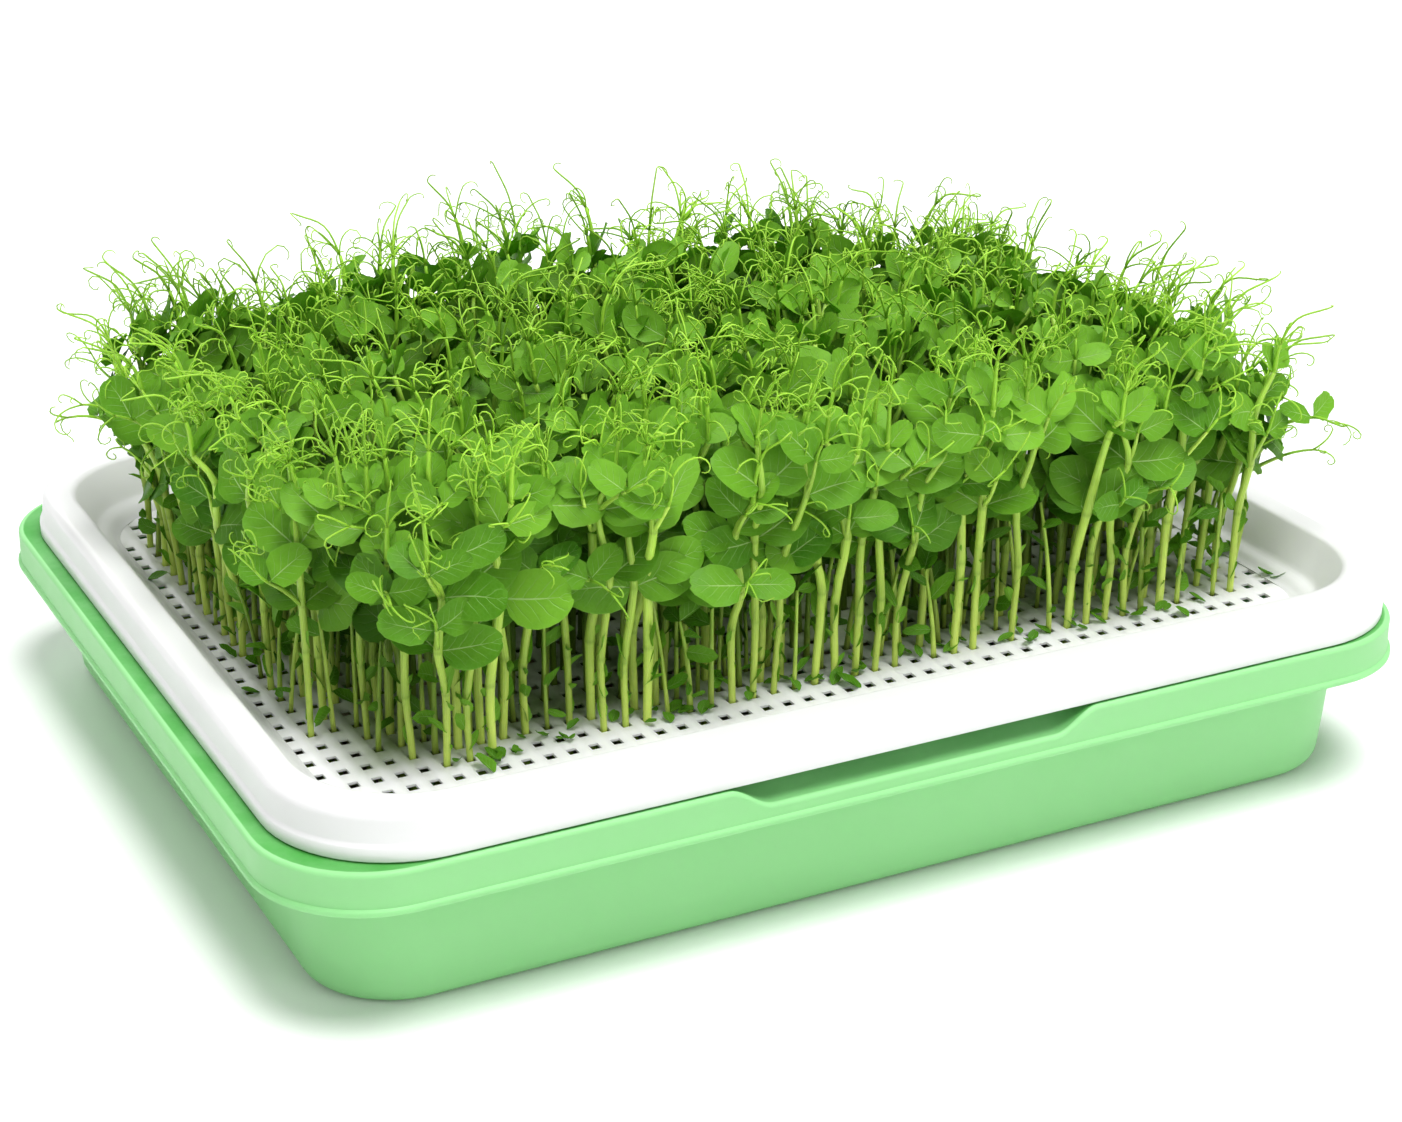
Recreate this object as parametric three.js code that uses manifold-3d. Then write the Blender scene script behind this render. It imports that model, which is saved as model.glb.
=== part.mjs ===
// Pea shoots in a two-part sprouting tray.
//
// A white growing tray with an open plate stands on the rim of a green water tray. The shoots come
// up through the openings of the plate, in bunches that share a mat of roots on the water tray's
// floor. Millimetres, +Z up. The origin is the middle of the water tray's underside.

import * as THREE from 'three';
import { mergeVertices } from 'three/addons/utils/BufferGeometryUtils.js';
import Module from 'manifold-3d';

const wasm = await Module();
wasm.setup();

// ---- Driving dimensions ----

const RIM_LENGTH = 340;              // growing tray over its rim, long way
const RIM_WIDTH = 273.6;             // and short way
const RIM_CORNER = 36;               // corner radius of that rim
const CORNER_EASE = 0.5;             // and what it loses with every millimetre further in
const WATER_OVERHANG = 2.6;          // the water tray's rim reaches this far past the growing tray's
const WATER_CORNER = 31;             // and its corners are a little tighter
const WALL = 2;                      // wall thickness of both trays
const FIT = 0.3;                     // air left between pieces that rest on each other

const WATER_RIM_TOP = 47.7;
const WATER_SKIRT_FOOT = 36.2;
const WATER_SKIRT_LIP = 0.8;         // the lip round the skirt's foot stands this far out
const WATER_LIP_HEIGHT = 1.4;
const WATER_EDGE = 0.8;              // bevel of the rim's and the lip's upper edges
const WATER_RIM_BREADTH = 13.6;
const WATER_WALL_DRAFT = 2.7;        // the wall leans out this far over its height
const WATER_FOOT_ROUND = 5;
const FOOT_TURNS = [0, 45, 90];      // points of that rounding, in degrees
const NOTCH_DEPTH = 6;               // finger notch in the water tray's long sides
const NOTCH_BACK_DEPTH = 2;          // its floor rises to this depth at the back
const NOTCH_HALF = 43;               // half length of the notch's floor
const NOTCH_RUN = 13;                // length of the slope at each end

const GROW_RIM_TOP = 61.3;
const GROW_BEAD_HEIGHT = 4;
const GROW_BEAD_PROUD = 0.8;
const GROW_BEAD_EASE = 1;            // height of the slope above the bead
const GROW_FASCIA_DRAFT = 1.2;       // the fascia leans in this far
const GROW_RIM_ROUND = 2.8;
const RIM_TURNS = [0, 45, 90];       // points of that rounding, in degrees
const GROW_RIM_BREADTH = 10.7;
const GROW_RIM_THICKNESS = 2.4;
const GROW_INNER_EDGE = 1.3;         // bevel of the rim's inner edge
const LEDGE_HEIGHT = 2.8;            // a small ledge runs round the foot of the inner wall
const LEDGE_INSET = 1.2;
const LEDGE_BREADTH = 1.8;
const LEDGE_RISE = 0.7;
const PLATE_TOP = 46.5;
const PLATE_INSET = 18.8;            // from the rim's outer face to the foot of the inner wall
const WALL_FOOT = 3;                 // thickness of the inner wall where it meets the plate
const LOOSE_SHIFT_X = 2.7;           // the growing tray sits loosely, a little off centre
const LOOSE_SHIFT_Y = -1;

const HOLE_PITCH_X = 6.4;            // every stem stands on this fine grid
const HOLE_PITCH_Y = 8;
const OUTER_COLUMN = 22 * HOLE_PITCH_X;
const OUTER_ROW = 11 * HOLE_PITCH_Y;
const COLUMNS = 10;
const ROWS = 6;
const STEP_DRAW = 1.3;               // a stem's draw, rounded to -1, 0 or 1 steps of the grid
const OPENING_X = 18;                // one opening takes a stem anywhere within a step of the grid
const OPENING_Y = 22;
const MARGIN_ROW = 109;              // the rows of openings in front of and behind the shoots
const MARGIN_OPENING_Y = 12;

const BUNCH_COLUMNS = 2;             // the shoots of a bunch share one root mat
const BUNCH_ROWS = 2;
const MAT_TOP = 15;
const MAT_HALF_LENGTH = 25.5;
const MAT_HALF_WIDTH = 29;
const MAT_CHAMFER = 5;
const MAT_FOOT_SCALE = 0.88;
const MAT_TOP_SCALE = 0.97;
const MAT_RAGGEDNESS = 0.05;
const MAT_DRAWS = 1000;              // number of the first mat's run of draws
const SEED_SINK = 1;                 // the seeds are sunk this far in the mat
const SEED_RADIUS = 4.3;
const SEED_HEIGHT = 5;

const STEM_RADIUS = 1.6;
const STEM_TOP_RADIUS = 1;
const STEM_SIDES = 3;
const SHOOT_HEIGHT = 62;             // shortest stem above the plate, before the dips below
const HEIGHT_SPREAD = 18;
const END_DIP = 10;                  // the shoots at the short ends are this much shorter
const CORNER_DIP = 14;               // and those in the back right corner by this much more
const LEAN = 6;                      // the outermost stems' tops lean out this far
const LEAN_SPREAD = 6;
const ZIGZAG = 2.4;                  // sideways step of a stem's nodes, growing with their level
const NODE_LEVELS = [0.32, 0.6, 0.84, 1];
const LEVEL_SPREAD = 0.06;
const LEAF_NODES = [2, 1];           // the nodes that carry a pair of leaves, upper ones first
const OUTWARD_PULL = 1.6;            // how firmly the outer leaves and tendrils face outwards
const LIGHT_PULL = new THREE.Vector2(-0.3, -0.6);    // all turn a little to a light in front

const LEAF_LENGTH = 16;
const LEAF_LENGTH_SPREAD = 4;
const LEAF_BREADTH = 0.76;           // width of a leaf as a share of its length
const LEAF_THICKNESS = 0.7;
const LEAF_CUP = 1.4;
const LEAF_WAVE = 0.7;
const LEAF_ROOT = 0.5;               // a leaf starts this far from the middle of its stem
const LEAF_TILT = 12;                // least angle of a leaf's upper side above level, in degrees
const LEAF_TILT_SPREAD = 40;
const LEAF_SWING = 25;               // least angle of a leaf from the steepest line of its plane
const LEAF_SWING_SPREAD = 60;
const LEAF_TRIES = 14;
const CLEARANCE = 5.6;               // between sample points of pieces that must not touch

const TENDRIL_LENGTH = 22;
const TENDRIL_LENGTH_SPREAD = 12;
const TENDRIL_TIP_RADIUS = 0.45;
const TENDRIL_STEPS = 3;
const TENDRIL_RISE = 82;             // a tendril starts this steeply, in degrees
const TENDRIL_BEND = 6;              // and bends over by this much, more with every step
const TENDRIL_BEND_SPREAD = 24;

// ---- Materials ----

const materials = {
  greenPlastic: new THREE.MeshStandardMaterial({ color: 0x92de94, roughness: 0.42, metalness: 0 }),
  whitePlastic: new THREE.MeshStandardMaterial({ color: 0xf7f8f7, roughness: 0.3, metalness: 0 }),
  shoot: new THREE.MeshStandardMaterial({ color: 0x4fa32f, roughness: 0.5, metalness: 0 }),
};

// ---- Helpers ----

const DRAW_MODULUS = 2147483647;
const DRAW_FACTOR = 48271;
const SEED_FACTOR = 7919;            // keeps the draws of neighbouring seeds apart
const SEED_OFFSET = 104729;
const MERGE_DISTANCE = 1e-4;

// The same draws come back for the same seed.
function randomFrom(seed) {
  let state = (seed * SEED_FACTOR + SEED_OFFSET) % DRAW_MODULUS;
  return () => {
    state = (state * DRAW_FACTOR) % DRAW_MODULUS;
    return state / DRAW_MODULUS;
  };
}

function radians(degrees) {
  return (degrees * Math.PI) / 180;
}

function geometryFrom(points, triangles) {
  const geometry = new THREE.BufferGeometry().setFromPoints(points);
  geometry.setIndex(triangles);
  return geometry;
}

// A closed body through rings of equally many points, anticlockwise seen from the last ring.
function loft(rings) {
  const count = rings[0].length;
  const lastRing = (rings.length - 1) * count;
  const triangles = [];
  for (let start = 0; start < lastRing; start += count) {
    for (let i = 0; i < count; i += 1) {
      const j = (i + 1) % count;
      triangles.push(start + i, start + j, start + count + j);
      triangles.push(start + i, start + count + j, start + count + i);
    }
  }
  for (let i = 1; i < count - 1; i += 1) {
    triangles.push(0, i + 1, i);
    triangles.push(lastRing, lastRing + i, lastRing + i + 1);
  }
  return geometryFrom(rings.flat(), triangles);
}

// A closed tapering tube through a list of points. The vector "side" is square to most of its run.
function taperedTube(path, radii, side, sides) {
  const rings = path.map((point, k) => {
    const before = path[Math.max(k - 1, 0)];
    const after = path[Math.min(k + 1, path.length - 1)];
    const along = after.clone().sub(before).normalize();
    const across = side.clone().addScaledVector(along, -along.dot(side)).normalize();
    const third = along.clone().cross(across);
    return Array.from({ length: sides }, (_, i) => {
      const turn = (i / sides) * 2 * Math.PI;
      return point.clone()
        .addScaledVector(across, radii[k] * Math.cos(turn))
        .addScaledVector(third, radii[k] * Math.sin(turn));
    });
  });
  return loft(rings);
}

function toSolid(geometry) {
  const bare = geometry.clone();
  bare.deleteAttribute('normal');
  bare.deleteAttribute('uv');
  const merged = mergeVertices(bare, MERGE_DISTANCE);
  return new wasm.Manifold(new wasm.Mesh({
    numProp: 3,
    vertProperties: Float32Array.from(merged.attributes.position.array),
    triVerts: Uint32Array.from(merged.index.array),
  }));
}

function fromSolid(solid) {
  const mesh = solid.getMesh();
  const geometry = new THREE.BufferGeometry();
  geometry.setAttribute('position', new THREE.BufferAttribute(mesh.vertProperties, 3));
  geometry.setIndex(new THREE.BufferAttribute(mesh.triVerts, 1));
  return geometry;
}

function joined(geometries) {
  const [first, ...others] = geometries.map(toSolid);
  return fromSolid(others.reduce((body, next) => body.add(next), first));
}

function cut(geometry, cutters) {
  return fromSolid(cutters.map(toSolid).reduce((body, cutter) => body.subtract(cutter), toSolid(geometry)));
}

function namedMesh(name, geometry, material) {
  geometry.computeVertexNormals();
  const mesh = new THREE.Mesh(geometry, material);
  mesh.name = name;
  return mesh;
}

// ---- Trays ----

const CORNER_STEPS = 4;
const NOTCH_STATIONS = [
  -NOTCH_HALF - NOTCH_RUN,
  -NOTCH_HALF - NOTCH_RUN / 2,
  -NOTCH_HALF,
  NOTCH_HALF,
  NOTCH_HALF + NOTCH_RUN / 2,
  NOTCH_HALF + NOTCH_RUN,
];

// One level ring of a tray, a rounded rectangle. Extra stations lie on its two long sides, where
// the height may dip.
function trayRing(inset, height, rimCorner = RIM_CORNER, stations = [], dip = 0) {
  const halfX = RIM_LENGTH / 2 - inset;
  const halfY = RIM_WIDTH / 2 - inset;
  const corner = rimCorner - CORNER_EASE * inset;
  const points = [];
  const addCorner = (signX, signY, startTurn) => {
    for (let step = 0; step <= CORNER_STEPS; step += 1) {
      const turn = startTurn + (step / CORNER_STEPS) * (Math.PI / 2);
      const x = signX * (halfX - corner) + corner * Math.cos(turn);
      const y = signY * (halfY - corner) + corner * Math.sin(turn);
      points.push(new THREE.Vector3(x, y, height));
    }
  };
  const addStations = (signY) => {
    for (const station of stations) {
      const share = Math.min(Math.max((NOTCH_HALF + NOTCH_RUN - Math.abs(station)) / NOTCH_RUN, 0), 1);
      points.push(new THREE.Vector3(-signY * station, signY * halfY, height - dip * share));
    }
  };
  addCorner(1, 1, 0);
  addStations(1);
  addCorner(-1, 1, Math.PI / 2);
  addCorner(-1, -1, Math.PI);
  addStations(-1);
  addCorner(1, -1, 1.5 * Math.PI);
  return points;
}

// The rings run from the underside, up outside, over the rim and down to the floor inside.
function waterTray() {
  const edge = -WATER_OVERHANG;
  const lip = edge - WATER_SKIRT_LIP;
  const lipTop = WATER_SKIRT_FOOT + WATER_LIP_HEIGHT;
  const wallTop = edge + WATER_RIM_BREADTH - WALL;
  const wallFoot = wallTop + WATER_WALL_DRAFT;
  const round = WATER_FOOT_ROUND;
  const ring = (inset, height, dip = 0) => (
    trayRing(inset, height, WATER_CORNER, NOTCH_STATIONS, dip)
  );
  const footRing = (turn) => ring(
    wallFoot + round * (1 - Math.sin(radians(turn))),
    round * (1 - Math.cos(radians(turn))),
  );
  return loft([
    ...FOOT_TURNS.map(footRing),
    ring(wallTop, WATER_RIM_TOP - WALL, NOTCH_BACK_DEPTH),
    ring(edge + WALL, WATER_RIM_TOP - WALL, NOTCH_DEPTH),
    ring(edge + WALL, WATER_SKIRT_FOOT),
    ring(lip, WATER_SKIRT_FOOT),
    ring(lip, lipTop),
    ring(edge, lipTop + WATER_EDGE),
    ring(edge, WATER_RIM_TOP - WATER_EDGE, NOTCH_DEPTH),
    ring(edge + WATER_EDGE, WATER_RIM_TOP, NOTCH_DEPTH),
    ring(wallTop + WALL, WATER_RIM_TOP, NOTCH_BACK_DEPTH),
    ring(wallFoot + WALL, round),
    ring(wallFoot + round, WALL),
  ]);
}

function openingCutters() {
  const cutters = [];
  const addCutter = (x, y, lengthY) => {
    const box = new THREE.BoxGeometry(OPENING_X, lengthY, 4 * WALL);
    box.translate(x, y, PLATE_TOP - WALL / 2);
    cutters.push(box);
  };
  for (let column = 0; column < COLUMNS; column += 1) {
    for (let row = 0; row < ROWS; row += 1) {
      addCutter(columnX(column), rowY(row), OPENING_Y);
    }
    if (column > 0 && column < COLUMNS - 1) {
      addCutter(columnX(column), -MARGIN_ROW, MARGIN_OPENING_Y);
      addCutter(columnX(column), MARGIN_ROW, MARGIN_OPENING_Y);
    }
  }
  return cutters;
}

// The rings run from the plate's underside, up the wall, over the rim's inside, down the fascia's
// inner face, up its outer face, over the rim and down to the plate.
function growTray() {
  const skirtFoot = WATER_RIM_TOP + FIT;
  const underRim = GROW_RIM_TOP - GROW_RIM_THICKNESS;
  const inner = GROW_RIM_BREADTH;
  const beadTop = skirtFoot + GROW_BEAD_HEIGHT;
  const ledgeFoot = PLATE_INSET - LEDGE_INSET;
  const ledgeTop = PLATE_TOP + LEDGE_HEIGHT;
  const rimRing = (turn) => trayRing(
    GROW_FASCIA_DRAFT + GROW_RIM_ROUND * (1 - Math.cos(radians(turn))),
    GROW_RIM_TOP - GROW_RIM_ROUND * (1 - Math.sin(radians(turn))),
  );
  const body = loft([
    trayRing(PLATE_INSET - WALL_FOOT, PLATE_TOP - WALL),
    trayRing(inner - WALL, underRim),
    trayRing(GROW_FASCIA_DRAFT + WALL, underRim),
    trayRing(WALL, skirtFoot),
    trayRing(0, skirtFoot),
    trayRing(0, beadTop),
    trayRing(GROW_BEAD_PROUD, beadTop + GROW_BEAD_EASE),
    ...RIM_TURNS.map(rimRing),
    trayRing(inner - GROW_INNER_EDGE, GROW_RIM_TOP),
    trayRing(inner, GROW_RIM_TOP - GROW_INNER_EDGE),
    trayRing(ledgeFoot - LEDGE_BREADTH, ledgeTop + LEDGE_RISE),
    trayRing(ledgeFoot, ledgeTop),
    trayRing(PLATE_INSET, PLATE_TOP),
  ]);
  return cut(body, openingCutters());
}

// ---- Shoots ----

// Columns and rows are spread evenly between the outermost ones, each on the nearest line of the
// fine grid.
function gridLine(index, count, outer, pitch) {
  return Math.round(((2 * index) / (count - 1) - 1) * (outer / pitch)) * pitch;
}

function columnX(column) {
  return gridLine(column, COLUMNS, OUTER_COLUMN, HOLE_PITCH_X);
}

function rowY(row) {
  return gridLine(row, ROWS, OUTER_ROW, HOLE_PITCH_Y);
}

function spread(draw, range) {
  return (2 * draw() - 1) * range;
}

// How tall a shoot at a place can be: full height, but less at the short ends and towards the back
// right corner.
function tallestAt(x, y) {
  const towardsEnd = Math.abs(x) / OUTER_COLUMN;
  const towardsCorner = Math.max(x / OUTER_COLUMN + y / OUTER_ROW, 0) / 2;
  return SHOOT_HEIGHT + HEIGHT_SPREAD - END_DIP * towardsEnd ** 4 - CORNER_DIP * towardsCorner ** 2;
}

// A stem stands up to one step of the fine grid off the middle of its opening. Outer stems lean
// outwards, and each node of a stem steps to the other side of its line.
function shootPlan(column, row) {
  const draw = randomFrom(row * COLUMNS + column + 1);
  const stepX = Math.round(spread(draw, STEP_DRAW)) * HOLE_PITCH_X;
  const stepY = Math.round(spread(draw, STEP_DRAW)) * HOLE_PITCH_Y;
  const x = THREE.MathUtils.clamp(columnX(column) + stepX, -OUTER_COLUMN, OUTER_COLUMN);
  const y = THREE.MathUtils.clamp(rowY(row) + stepY, -OUTER_ROW, OUTER_ROW);
  const outX = (x / OUTER_COLUMN) ** 3;
  const outY = (y / OUTER_ROW) ** 3;
  const height = tallestAt(x, y) - HEIGHT_SPREAD * draw();
  const leanX = outX * LEAN + spread(draw, LEAN_SPREAD);
  const leanY = outY * LEAN + spread(draw, LEAN_SPREAD);
  const zigzagTurn = 2 * Math.PI * draw();
  const levels = NODE_LEVELS.map((level) => (level < 1 ? level + spread(draw, LEVEL_SPREAD) : 1));
  const nodes = levels.map((level, k) => {
    const step = ZIGZAG * level * (k % 2 === 0 ? 1 : -1);
    return new THREE.Vector3(
      x + leanX * level ** 2 + step * Math.cos(zigzagTurn),
      y + leanY * level ** 2 + step * Math.sin(zigzagTurn),
      PLATE_TOP + height * level,
    );
  });
  const home = new THREE.Vector3(columnX(column), rowY(row), 0);
  const foot = new THREE.Vector3(x, y, MAT_TOP);
  return { column, row, draw, outX, outY, home, foot, nodes, leaves: [], tendril: [] };
}

// The direction a leaf's upper side or a tendril faces: outwards at the edges, and inside any way,
// though more often to the light.
function facingTurn(shoot) {
  const turn = 2 * Math.PI * shoot.draw();
  return Math.atan2(
    Math.sin(turn) + OUTWARD_PULL * shoot.outY + LIGHT_PULL.y,
    Math.cos(turn) + OUTWARD_PULL * shoot.outX + LIGHT_PULL.x,
  );
}

// A leaf of a pair: its upper side looks up and along the facing direction, its blade swings down
// from the steepest line of that plane, to the left or the right.
function drawLeaf(shoot, node, hand) {
  const turn = facingTurn(shoot);
  const tilt = radians(LEAF_TILT + LEAF_TILT_SPREAD * shoot.draw());
  const swing = hand * radians(LEAF_SWING + LEAF_SWING_SPREAD * shoot.draw());
  const length = LEAF_LENGTH + LEAF_LENGTH_SPREAD * shoot.draw();
  const up = new THREE.Vector3(
    Math.cos(turn) * Math.cos(tilt),
    Math.sin(turn) * Math.cos(tilt),
    Math.sin(tilt),
  );
  const steepest = new THREE.Vector3(
    -Math.cos(turn) * Math.sin(tilt),
    -Math.sin(turn) * Math.sin(tilt),
    Math.cos(tilt),
  );
  const along = steepest.multiplyScalar(Math.cos(swing))
    .addScaledVector(new THREE.Vector3(-Math.sin(turn), Math.cos(turn), 0), Math.sin(swing));
  const base = shoot.nodes[node].clone().addScaledVector(along, LEAF_ROOT);
  return { base, along, up, across: up.clone().cross(along), length };
}

function leafPoint(leaf, along, across, lift = 0) {
  return leaf.base.clone()
    .addScaledVector(leaf.along, along * leaf.length)
    .addScaledVector(leaf.across, (across * leaf.length * LEAF_BREADTH) / 2)
    .addScaledVector(leaf.up, lift);
}

const LEAF_SAMPLES = [[0.25, 0], [0.5, -0.6], [0.5, 0], [0.5, 0.6], [0.82, -0.45], [0.82, 0.45], [1, 0]];
const STEM_SAMPLES = [0, 0.25, 0.5, 0.75, 1];

function leafSamples(leaf) {
  return LEAF_SAMPLES.map(([along, across]) => leafPoint(leaf, along, across));
}

function stemSamples(shoot) {
  return shoot.nodes.slice(1).flatMap((node, k) => STEM_SAMPLES.map(
    (share) => shoot.nodes[k].clone().lerp(node, share),
  ));
}

// A tendril carries on from the tip of the stem and hooks over.
function drawTendril(shoot) {
  const turn = facingTurn(shoot);
  const bend = radians(TENDRIL_BEND + TENDRIL_BEND_SPREAD * shoot.draw());
  const stride = (TENDRIL_LENGTH + TENDRIL_LENGTH_SPREAD * shoot.draw()) / TENDRIL_STEPS;
  const path = [];
  let last = shoot.nodes[shoot.nodes.length - 1];
  for (let step = 0; step < TENDRIL_STEPS; step += 1) {
    const rise = radians(TENDRIL_RISE) - (bend * step * (step + 1)) / 2;
    last = last.clone().add(new THREE.Vector3(
      stride * Math.cos(rise) * Math.cos(turn),
      stride * Math.cos(rise) * Math.sin(turn),
      stride * Math.sin(rise),
    ));
    path.push(last);
  }
  return path;
}

// Nothing came up in the front left corner.
function isBare(column, row) {
  return column === 0 && row === 0;
}

// Stems are placed first. Each tendril and leaf is then drawn again until it is clear of every
// other piece but its own stem, and left out if no draw is.
function planShoots() {
  const shoots = [];
  for (let row = 0; row < ROWS; row += 1) {
    for (let column = 0; column < COLUMNS; column += 1) {
      if (!isBare(column, row)) {
        shoots.push(shootPlan(column, row));
      }
    }
  }
  const stems = shoots.map(stemSamples);
  const taken = [];
  const isFar = (samples, others) => others.every(
    (other) => samples.every((sample) => sample.distanceTo(other) > CLEARANCE),
  );
  const firstClear = (owner, drawPiece, samplesOf) => {
    for (let attempt = 0; attempt < LEAF_TRIES; attempt += 1) {
      const piece = drawPiece();
      const samples = samplesOf(piece);
      const clearOfStems = stems.every((others, index) => index === owner || isFar(samples, others));
      if (clearOfStems && isFar(samples, taken)) {
        taken.push(...samples);
        return [piece];
      }
    }
    return [];
  };
  shoots.forEach((shoot, owner) => {
    shoot.tendril = firstClear(owner, () => drawTendril(shoot), (path) => path).flat();
  });
  for (const node of LEAF_NODES) {
    shoots.forEach((shoot, owner) => {
      for (const hand of [-1, 1]) {
        shoot.leaves.push(...firstClear(owner, () => drawLeaf(shoot, node, hand), leafSamples));
      }
    });
  }
  return shoots;
}

// Half of a leaf's outline, from its base to its tip, as shares of its length and half width.
const LEAF_OUTLINE = [[0, 0], [0.2, 0.66], [0.52, 1], [0.84, 0.66], [1, 0]];

// A blade of even thickness, cupped along its midrib and waved at its edge. Both faces are split
// into the same triangles, in bands from the base to the tip, and meet in a point at the base.
function leafBlade(leaf) {
  const right = LEAF_OUTLINE.slice(0, -1).map(([along, across]) => [along, -across]);
  const left = LEAF_OUTLINE.slice(1).reverse();
  const outline = [...right, ...left];
  const count = outline.length;
  const tip = right.length;
  const height = (across, i) => LEAF_CUP * across ** 2 + (across === 0 ? 0 : LEAF_WAVE * (-1) ** i);
  const top = outline.map(([along, across], i) => leafPoint(leaf, along, across, height(across, i)));
  const bottom = top.slice(1).map((point) => point.clone().addScaledVector(leaf.up, -LEAF_THICKNESS));
  const under = (i) => (i === 0 ? 0 : count + i - 1);
  const triangles = [];
  const addFaces = (a, b, c) => {
    triangles.push(a, b, c);
    triangles.push(under(a), under(c), under(b));
  };
  for (let i = 0; i < tip - 1; i += 1) {
    const opposite = (count - i) % count;
    addFaces(i, i + 1, count - 1 - i);
    if (i > 0) {
      addFaces(i, count - 1 - i, opposite);
    }
  }
  addFaces(tip - 1, tip, tip + 1);
  for (let i = 0; i < count; i += 1) {
    const j = (i + 1) % count;
    if (i !== 0) {
      triangles.push(i, under(i), under(j));
    }
    if (j !== 0) {
      triangles.push(i, under(j), j);
    }
  }
  return geometryFrom([...top, ...bottom], triangles);
}

// A seed, the stem that grows out of it and the tendril at its tip, as one tapering tube.
function stem(shoot) {
  const collar = shoot.foot.clone().setZ(MAT_TOP + SEED_HEIGHT);
  const stemPath = [collar, ...shoot.nodes];
  const taper = (from, to, k, count) => THREE.MathUtils.lerp(from, to, k / count);
  const path = [shoot.foot.clone().setZ(MAT_TOP - SEED_SINK), ...stemPath, ...shoot.tendril];
  const radii = [
    SEED_RADIUS,
    ...stemPath.map((_, k) => taper(STEM_RADIUS, STEM_TOP_RADIUS, k, stemPath.length - 1)),
    ...shoot.tendril.map((_, k) => taper(STEM_TOP_RADIUS, TENDRIL_TIP_RADIUS, k + 1, TENDRIL_STEPS)),
  ];
  return taperedTube(path, radii, new THREE.Vector3(1, 0, 0), STEM_SIDES);
}

// The tangle of roots that a bunch stands in, lying on the floor of the water tray.
function rootMat(centreX, centreY, draw) {
  const inX = MAT_HALF_LENGTH - MAT_CHAMFER;
  const inY = MAT_HALF_WIDTH - MAT_CHAMFER;
  const corner = [[MAT_HALF_LENGTH, inY], [inX, MAT_HALF_WIDTH]];
  const outline = [
    ...corner,
    ...corner.map(([x, y]) => [-x, y]).reverse(),
    ...corner.map(([x, y]) => [-x, -y]),
    ...corner.map(([x, y]) => [x, -y]).reverse(),
  ].map((corners) => corners.map((reach) => reach * (1 - MAT_RAGGEDNESS * draw())));
  const level = (scale, height) => outline.map(
    ([x, y]) => new THREE.Vector3(centreX + scale * x, centreY + scale * y, height),
  );
  return loft([
    level(MAT_FOOT_SCALE, WALL + FIT),
    level(1, MAT_TOP / 2),
    level(MAT_TOP_SCALE, MAT_TOP),
  ]);
}

function shootBunch(members, name, draw) {
  const homes = new THREE.Box3().setFromPoints(members.map((shoot) => shoot.home));
  const middle = homes.getCenter(new THREE.Vector3());
  const pieces = [rootMat(middle.x, middle.y, draw)];
  for (const shoot of members) {
    pieces.push(stem(shoot), ...shoot.leaves.map(leafBlade));
  }
  return namedMesh(name, joined(pieces), materials.shoot);
}

function shootBunches() {
  const shoots = planShoots();
  const bunches = [];
  for (let row = 0; row < ROWS; row += BUNCH_ROWS) {
    for (let column = 0; column < COLUMNS; column += BUNCH_COLUMNS) {
      const members = shoots.filter((shoot) => (
        Math.floor(shoot.row / BUNCH_ROWS) * BUNCH_ROWS === row
        && Math.floor(shoot.column / BUNCH_COLUMNS) * BUNCH_COLUMNS === column
      ));
      const name = `pea_shoots_${row / BUNCH_ROWS + 1}_${column / BUNCH_COLUMNS + 1}`;
      bunches.push(shootBunch(members, name, randomFrom(MAT_DRAWS + bunches.length)));
    }
  }
  return bunches;
}

// ---- Assembly ----

const growing = new THREE.Group();
growing.position.set(LOOSE_SHIFT_X, LOOSE_SHIFT_Y, 0);
growing.add(namedMesh('grow_tray', growTray(), materials.whitePlastic), ...shootBunches());

const group = new THREE.Group();
group.add(namedMesh('water_tray', waterTray(), materials.greenPlastic), growing);

export default group;
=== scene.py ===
"""Pea shoots in a two-part sprouting tray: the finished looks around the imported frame.

Sizes are in millimetres and are turned into metres where a mesh is made. The origin is the middle
of the water tray's underside, +X along its long side and +Z up.
"""

import math

import bpy
import numpy as np
from mathutils import Matrix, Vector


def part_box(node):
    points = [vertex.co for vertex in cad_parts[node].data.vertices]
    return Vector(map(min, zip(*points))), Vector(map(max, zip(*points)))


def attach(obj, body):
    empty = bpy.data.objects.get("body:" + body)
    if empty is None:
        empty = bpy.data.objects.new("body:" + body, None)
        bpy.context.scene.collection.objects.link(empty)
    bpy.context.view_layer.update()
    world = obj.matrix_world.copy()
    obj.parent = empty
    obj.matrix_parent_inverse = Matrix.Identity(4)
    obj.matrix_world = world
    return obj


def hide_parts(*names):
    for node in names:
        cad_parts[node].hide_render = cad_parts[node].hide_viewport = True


MM = 0.001

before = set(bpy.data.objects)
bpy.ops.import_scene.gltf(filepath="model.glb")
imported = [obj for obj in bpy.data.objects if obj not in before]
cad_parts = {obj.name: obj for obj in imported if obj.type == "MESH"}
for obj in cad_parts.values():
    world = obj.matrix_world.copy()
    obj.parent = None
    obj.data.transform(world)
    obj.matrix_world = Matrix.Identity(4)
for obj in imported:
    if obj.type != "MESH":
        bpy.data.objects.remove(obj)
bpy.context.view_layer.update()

# ---- Driving dimensions, the same as the solids have ----

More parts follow.
